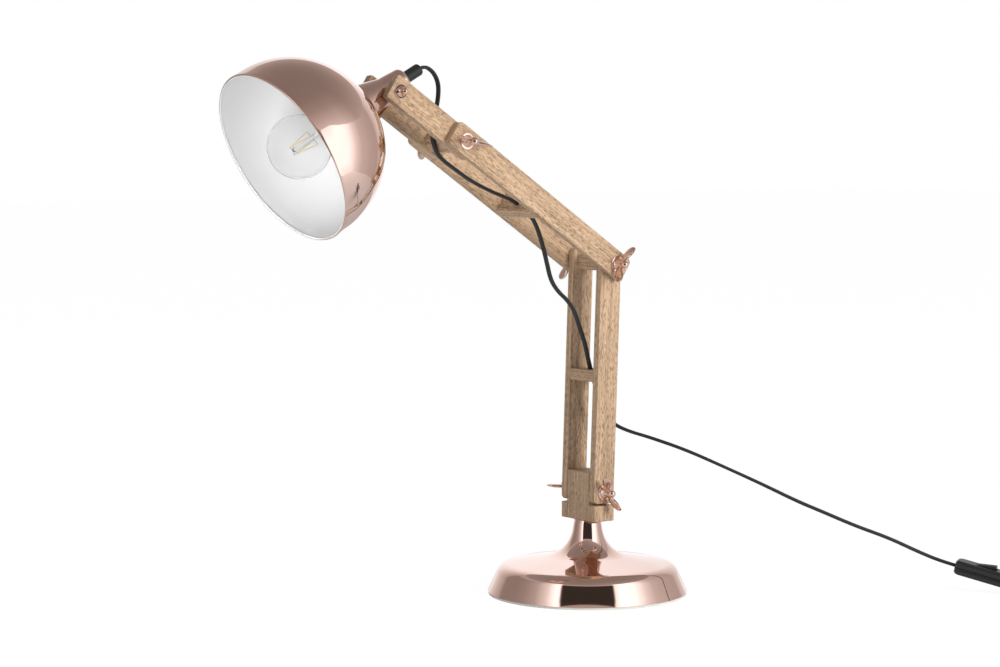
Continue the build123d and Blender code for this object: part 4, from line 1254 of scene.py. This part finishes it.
class LAMP_OT_cord(bpy.types.Operator):
    """Makes the flat cord from the head down to its plug"""

    bl_idname = "lamp.cord"
    bl_label = "Cord"

    def execute(self, context):
        sideways, up, flat, plugged = (0.0, 1.0, 0.0), (0.0, 0.0, 1.0), tuple(SWITCH_SIDE), (0.5, 0.86, 0.0)
        beside = ((0, sideways), (1, sideways))
        turning = ((0, sideways), (0.25, sideways), (0.6, flat), (1, flat))
        stretches = (
            ("head", HEAD_ROUTE, beside, ("head", "front_arm"), 8, ["cord_grip_moulded"]),
            ("front", FRONT_ROUTE, beside, ("front_arm", "middle_arm"), 10, []),
            ("middle", MIDDLE_ROUTE, beside, ("middle_arm", "lower_arm"), 11, []),
            ("lower", LOWER_ROUTE, turning, ("lower_arm", "base"), 12,
             ["switch_shell_lower", "switch_shell_upper", "switch_rocker"]))
        for word, route, stops, bodies, last, pieces in stretches:
            lay_cord(f"cord_{word}_flat", route, stops, bodies, [f"cord_{word}"], pieces, (1, last),
                     far_end="object", lay="loose")
        lay_cord("cord_rest_flat", rest_route(),
                 ((0, flat), (0.015, flat), (0.05, up), (0.96, up), (0.99, plugged), (1, plugged)), ["base"],
                 ["cord_tail", "cord_coil", "cord_plug_lead"], ["plug_moulded", "plug_pins_plated"],
                 far_end="plug", lay="coiled")
        return {"FINISHED"}


# Switch and plug

ROCKER_REST, ROCKER_AXIS_DEPTH = -10.0, 2.0


def switch_shell(c, window):
    """Half of the switch's housing, from its seam upwards. Rings of rounded rectangles draw in along a
    quarter circle to the flat top, which either closes or runs on to the window and down its wall."""
    half_x, half_y, half_z = c.switch_length / 2, c.switch_width / 2, c.switch_height / 2
    turn = np.linspace(0, math.pi / 2, 9)
    edge, seam, lip, corner = 3.2 * MM, 0.1 * MM, 0.35 * MM, 0.3 * c.switch_width
    inset = np.concatenate([[1.5 * MM, lip, 0.0], edge * (1 - np.cos(turn))])
    height = np.concatenate([[seam, seam, seam + lip], half_z - edge + edge * np.sin(turn)])
    rings = [level(rounded_loop(half_x, half_y, corner, i), z) for i, z in zip(inset, height)]
    if window is None:
        return skinned(rings, first=False)
    wall_steps = ((0.5, half_z), (0.12, half_z - 0.12 * MM), (0.0, half_z - 0.5 * MM), (0.0, 2 * MM))
    rings += [level(rounded_loop(*window, 1.0 * MM, -grow * MM), z) for grow, z in wall_steps]
    return np.concatenate(rings), grid_quads(len(rings), len(rings[0]), True)


def rocker_surface(c):
    """The rocker: rings of rounded rectangles up its sides, then a top dished along its length as one less
    the square of the share of its half length. It rests tipped, its far end pressed in."""
    half_x, half_y, top = c.rocker_length / 2, c.rocker_width / 2, c.switch_height / 2 + c.rocker_proud
    edge, low = 0.7 * MM, top - c.rocker_height
    turn = np.linspace(0, math.pi / 2, 5)
    inset = np.concatenate([[1.2 * MM, 0.0], edge * (1 - np.cos(turn)), half_y * np.array((0.4, 0.7, 0.98))])
    height = np.concatenate([[low + 1.2 * MM, low + 2.6 * MM], top - edge + edge * np.sin(turn),
                             np.full(3, top)])
    rings = []
    for i, z in zip(inset, height):
        loop = rounded_loop(half_x, half_y, 0.8 * MM, i)
        dish = c.rocker_dish * (1 - (loop[:, 0] / half_x) ** 2)
        rings.append(np.column_stack([loop, z - dish * np.clip((z - low) / (top - low), 0, 1)]))
    points, faces = skinned(rings)
    axis, lean = c.switch_height / 2 - ROCKER_AXIS_DEPTH * MM, math.radians(ROCKER_REST)
    x, z = points[:, 0], points[:, 2] - axis
    return np.column_stack([x * math.cos(lean) + z * math.sin(lean), points[:, 1],
                            axis - x * math.sin(lean) + z * math.cos(lean)]), faces


def plug_place():
    """The plug's place: its back end's middle, with +X along the pins and +Z up."""
    coil = coil_points(np.array((COIL_IN + COIL_OUT - 0.002, COIL_IN + COIL_OUT)))
    ahead = unit((coil[1] - coil[0]) * (1, 1, 0))
    return Place((coil[1] + ahead * LEAD_LENGTH) * MM, ahead, np.cross((0, 0, 1), ahead), (0, 0, 1))


def plug_surface(c):
    """The flat plug: rounded rectangles along its length. The sleeve tapers and has shallow grips, the body
    swells from it along a smooth step, draws in at its waist and rounds off at the front."""
    x = c.plug_length * np.concatenate([np.linspace(0, 0.94, 70), np.linspace(0.945, 1, 12)])
    nose, swell_run, grip_pitch, waist_width = 1.6 * MM, 9 * MM, 4 * MM, 6 * MM
    sleeve = np.clip(x / c.sleeve_length, 0, 1)
    swell = smooth_step(np.clip((x - c.sleeve_length) / swell_run, 0, 1))
    grips = 0.35 * MM * np.sin(2 * math.pi * x / grip_pitch) * (sleeve < 0.9) * (x > 2 * MM)
    into_nose = np.clip((x - c.plug_length + nose) / nose, 0, 1)
    front = nose * (1 - np.sqrt(1 - into_nose ** 2))
    waist = 1.0 * MM * np.exp(-((x - 0.78 * c.plug_length) / waist_width) ** 2)
    sleeve_y, sleeve_z = (3.4 + 1.6 * sleeve) * MM, (3.1 + 0.9 * sleeve) * MM
    half_y = sleeve_y + (c.plug_width / 2 - sleeve_y) * swell - front - waist * swell + grips
    half_z = sleeve_z + (c.plug_height / 2 - sleeve_z) * np.clip(1.3 * swell, 0, 1) - front + grips
    rings = []
    for at, wide, high in zip(x, half_y, half_z):
        loop = rounded_loop(wide, high, min(high * 0.9, 5 * MM))
        rings.append(np.column_stack([np.full(len(loop), at), loop]))
    return skinned(rings)


class LAMP_OT_switch(bpy.types.Operator):
    """Makes the inline switch with its rocker, and the plug with its two pins"""

    bl_idname = "lamp.switch"
    bl_label = "Switch and Plug"

    def execute(self, context):
        c = sizes("lamp_cord")
        clearance, sunk = 0.5 * MM, 1 * MM
        window = (c.rocker_length / 2 + clearance, c.rocker_width / 2 + clearance)
        points, faces = switch_shell(c, None)
        pins = [round_bar((c.plug_length - sunk, y, 0), (c.plug_length + c.pin_length, y, 0), c.pin_radius,
                          24, c.pin_radius * 0.6) for y in (-c.pin_spacing / 2, c.pin_spacing / 2)]
        plug = plug_place()
        pieces = (("switch_shell_upper", SWITCH_PLACE(switch_shell(c, window)), "base", "plastic",
                   "switch_upper"),
                  ("switch_shell_lower", SWITCH_PLACE((points * (1, 1, -1), faces)), "base", "plastic",
                   "switch_lower"),
                  ("switch_rocker", SWITCH_PLACE(rocker_surface(c)), "rocker", "plastic", "rocker"),
                  ("plug_moulded", plug(plug_surface(c)), "base", "plastic", "plug_body"),
                  ("plug_pins_plated", plug(joined(*pins)), "base", "nickel", "plug_pins"))
        for name, surface, body, material, node in pieces:
            add_piece(name, surface, body, material, [node], 50.0)
        return {"FINISHED"}


# Stage

CAMERA_AT = (-1.6632, -2.0779, 0.4726)
CAMERA_TURN = (math.radians(90 - 4.542), 0.0, math.radians(-36.783))
CAMERA_LENS = 96.217
CAMERA_AZIMUTH = math.radians(-38.674)
FLOOR_HALF, FLOOR_TONE, FLOOR_GLOW, FLOOR_SEEN_WHITE = 12.0, 0.82, 1.1, 0.86
SCREEN_RADIUS, SCREEN_HEIGHT, SCREEN_RISE, SCREEN_SIDES = 1.12, 1.06, 0.14, 96
GAP_HEIGHT, GAP_TOP, GAP_TOP_LEVEL = 0.86, 0.875, 0.42
SCREEN_PEAK = 1.7
DIM_TINT, BRIGHT_TINT = (1.11, 0.93, 0.85, 1), (0.99, 1.05, 1.10, 1)
SCREENS = ((-180, 1.12), (-157, 0.98), (-142, 0.72), (-124, 0.44), (-119, 0.28), (-97, 0.28), (-82, 0.33),
           (-67, 0.46), (-52, 0.85), (-42, 1.45), (-36, 1.5), (-33.5, 0.035), (34, 0.035), (36.5, 1.2),
           (44, 1.6), (62, 1.5), (78, 0.88), (90, 0.62), (113, 0.50), (133, 0.46), (138, 0.62), (158, 0.85),
           (180, 1.12))
CEILING, SOFT_LIGHT = 0.24, 0.40
LAMPS = (("key", 14, 2.6, 1.2, 63.0, 0.9), ("fill", -84, 2.3, 0.3, 11.5, 1.6))
LAMP_HEIGHT, LAMP_AIM = 1.2, (-0.1, 0.0, 0.3)
CARD_PLACE, CARD_AIM, CARD_POWER = (-0.80, -0.40, 0.10), (-0.32, 0.0, 0.335), 0.158


class LAMP_OT_stage(bpy.types.Operator):
    """Sets up the pale floor, the studio that the metal mirrors, the lights and the camera"""

    bl_idname = "lamp.stage"
    bl_label = "Stage"

    def execute(self, context):
        scene = context.scene
        scene.view_settings.view_transform = "Standard"
        make_floor()
        make_screens()
        make_world(scene)
        make_lights()
        camera = stage_object("camera", bpy.data.cameras.new("camera"))
        camera.location, camera.rotation_euler = CAMERA_AT, CAMERA_TURN
        camera.data.lens = CAMERA_LENS
        camera.data.clip_end = 100.0
        scene.camera = camera
        return {"FINISHED"}


def stage_object(name, data):
    """A new object in the scene."""
    thing = bpy.data.objects.new(name, data)
    bpy.context.scene.collection.objects.link(thing)
    return thing


def stage_piece(name, points, faces):
    """A mesh of the stage, and the empty node tree of its material."""
    mesh = bpy.data.meshes.new(name)
    mesh.from_pydata(points, [], faces)
    mesh.materials.append(bpy.data.materials.new(name))
    piece = stage_object(name, mesh)
    return piece, cleared(mesh.materials[0])


def make_floor():
    """A wide white floor that keeps a faint shadow: most of what the camera sees of it is plain white, and
    so is what mirrors see of it at a low angle."""
    corners = [(x * FLOOR_HALF, y * FLOOR_HALF, 0) for x, y in ((-1, -1), (1, -1), (1, 1), (-1, 1))]
    tree = stage_piece("floor", corners, [(0, 1, 2, 3)])[1]
    plain, glow = add_node(tree, "ShaderNodeBsdfDiffuse"), add_node(tree, "ShaderNodeEmission")
    feed(tree, plain.inputs[:1], ((FLOOR_TONE, FLOOR_TONE, FLOOR_TONE, 1),))
    feed(tree, glow.inputs[:2], ((1, 1, 1, 1), FLOOR_GLOW))
    path = add_node(tree, "ShaderNodeLightPath").outputs
    seen = math_node(tree, "ADD", path["Is Camera Ray"], path["Is Transmission Ray"])
    share = math_node(tree, "MULTIPLY", seen, FLOOR_SEEN_WHITE, clamp=True)
    flat = ramp(tree, add_node(tree, "ShaderNodeLayerWeight").outputs["Facing"], ((0.80, 0.0), (0.97, 0.9)))
    share = math_node(tree, "ADD", share, times(tree, path["Is Glossy Ray"], flat), clamp=True)
    both = add_node(tree, "ShaderNodeMixShader")
    feed(tree, both.inputs, (share, plain.outputs[0], glow.outputs[0]))
    put_out(tree, both)


def tinted(tree, level):
    """Warm where the light is dim and cool where it is bright, times the level."""
    tone = mix(tree, math_node(tree, "MULTIPLY", level, 0.8, clamp=True), DIM_TINT, BRIGHT_TINT)
    return mix(tree, 1.0, tone, level, "MULTIPLY")


def camera_turn(tree, way):
    """A direction's turn from the camera's side, -180 to 180 degrees, as a share from 0 to 1. It comes from
    the direction's shares towards the camera's side and to its right."""
    shares = []
    for axis in ((math.sin(CAMERA_AZIMUTH), -math.cos(CAMERA_AZIMUTH), 0.0),
                 (math.cos(CAMERA_AZIMUTH), math.sin(CAMERA_AZIMUTH), 0.0)):
        node = add_node(tree, "ShaderNodeVectorMath", operation="DOT_PRODUCT")
        feed(tree, node.inputs[:2], (way, axis))
        shares.append(node.outputs["Value"])
    towards, sideways = shares
    turn = times(tree, math_node(tree, "ARCTAN2", sideways, towards), 0.5 / math.pi)
    return math_node(tree, "ADD", turn, 0.5)


def height_of(tree, way):
    """The Z share of a vector."""
    split = add_node(tree, "ShaderNodeSeparateXYZ")
    feed(tree, split.inputs, (way,))
    return split.outputs[2]


def make_screens():
    """The studio's screens as a ring about the lamp, seen by mirrors alone: bright on both sides of the
    camera, dark between them, dim at the sides and white behind. The level follows the turn about the
    lamp."""
    turn = np.linspace(0, 2 * math.pi, SCREEN_SIDES, endpoint=False)
    ring = np.column_stack([SCREEN_RADIUS * np.cos(turn), SCREEN_RADIUS * np.sin(turn)])
    behind = 0.5 - 0.5 * np.cos(turn - CAMERA_AZIMUTH + math.pi / 2)
    points = np.concatenate([level(ring, 0.0), np.column_stack([ring, SCREEN_HEIGHT + SCREEN_RISE * behind])])
    screens, tree = stage_piece("screens", points.tolist(), grid_quads(2, SCREEN_SIDES).tolist())
    stops = [(0.5 + turn_at / 360, tone / SCREEN_PEAK) for turn_at, tone in SCREENS]
    light = ramp(tree, camera_turn(tree, coordinates(tree)), stops)
    over_gap = ramp(tree, height_of(tree, coordinates(tree)), ((GAP_HEIGHT, 0.0), (GAP_TOP, GAP_TOP_LEVEL)))
    light = math_node(tree, "MAXIMUM", times(tree, light, SCREEN_PEAK), over_gap)
    glow = add_node(tree, "ShaderNodeEmission")
    feed(tree, glow.inputs[:1], (tinted(tree, light),))
    put_out(tree, glow)
    screens.visible_camera = screens.visible_diffuse = screens.visible_transmission = False
    screens.visible_shadow = screens.visible_volume_scatter = False


def make_world(scene):
    """White for the camera and plain soft light for the rest. Mirrors see a dim ceiling over the screens,
    which brightens towards their tops, most of all on the right."""
    scene.world = bpy.data.worlds.new("studio")
    tree = cleared(scene.world)
    way = add_node(tree, "ShaderNodeTexCoord").outputs["Generated"]
    glow = ramp(tree, height_of(tree, way),
                ((0.38, 0.62), (0.6, 0.30), (0.75, 0.12), (0.9, 0.02), (1.0, 0.0)))
    right_side = ramp(tree, camera_turn(tree, way), ((0.5, 0.42), (0.62, 1.0), (0.72, 1.0), (0.8, 0.42)))
    ceiling = math_node(tree, "ADD", times(tree, glow, right_side), CEILING)
    path = add_node(tree, "ShaderNodeLightPath").outputs
    clear = math_node(tree, "ADD", path["Is Camera Ray"], path["Is Transmission Ray"], clamp=True)
    soft = mix(tree, path["Is Glossy Ray"], (SOFT_LIGHT, SOFT_LIGHT, SOFT_LIGHT, 1), tinted(tree, ceiling))
    sky = add_node(tree, "ShaderNodeBackground")
    feed(tree, sky.inputs[:1], (mix(tree, clear, soft, (1, 1, 1, 1)),))
    put_out(tree, sky, "ShaderNodeOutputWorld")


def add_lamp(name, place, aim, **settings):
    """A soft lamp at a place, aimed at a point and unseen by mirrors."""
    lamp = bpy.data.lights.new(name, "AREA")
    for key, value in settings.items():
        setattr(lamp, key, value)
    holder = stage_object(name, lamp)
    holder.location = place
    holder.rotation_euler = (Vector(aim) - Vector(place)).to_track_quat("-Z", "Y").to_euler()
    holder.visible_glossy = holder.visible_transmission = False


def make_lights():
    """Two large soft lamps in front, one on each side of the camera, and a narrow one into the shade's
    mouth."""
    for name, azimuth, distance, height, power, width in LAMPS:
        angle = math.radians(azimuth)
        add_lamp(name, (distance * math.sin(angle), -distance * math.cos(angle), height), LAMP_AIM,
                 shape="RECTANGLE", size=width, size_y=LAMP_HEIGHT, energy=power)
    add_lamp("card", CARD_PLACE, CARD_AIM, shape="DISK", size=0.3, spread=math.radians(30), energy=CARD_POWER)


# Panel, registration and run

OPERATORS = (LAMP_OT_finishes, LAMP_OT_base, LAMP_OT_block, LAMP_OT_rails, LAMP_OT_spacers, LAMP_OT_hardware,
             LAMP_OT_shade, LAMP_OT_neck, LAMP_OT_bulb, LAMP_OT_switch, LAMP_OT_cord, LAMP_OT_stage)


class LAMP_PT_panel(bpy.types.Panel):
    """Lists the lamp's operators and sizes"""

    bl_label = "Table Lamp"
    bl_idname = "LAMP_PT_panel"
    bl_space_type = "VIEW_3D"
    bl_region_type = "UI"
    bl_category = "Lamp"

    def draw(self, context):
        for operator in OPERATORS:
            self.layout.operator(operator.bl_idname)
        for name, group in GROUPS.items():
            box = self.layout.box()
            for label in group.__annotations__:
                box.prop(getattr(context.scene, name), label)


def register():
    for group in GROUPS.values():
        bpy.utils.register_class(group)
    for name, group in GROUPS.items():
        setattr(bpy.types.Scene, name, bpy.props.PointerProperty(type=group))
    for operator in OPERATORS:
        bpy.utils.register_class(operator)
    bpy.utils.register_class(LAMP_PT_panel)


def unregister():
    bpy.utils.unregister_class(LAMP_PT_panel)
    for operator in reversed(OPERATORS):
        bpy.utils.unregister_class(operator)
    for name, group in GROUPS.items():
        delattr(bpy.types.Scene, name)
        bpy.utils.unregister_class(group)


def main():
    register()
    for operator in OPERATORS:
        group, name = operator.bl_idname.split(".")
        getattr(getattr(bpy.ops, group), name)()


if __name__ == "__main__":
    main()
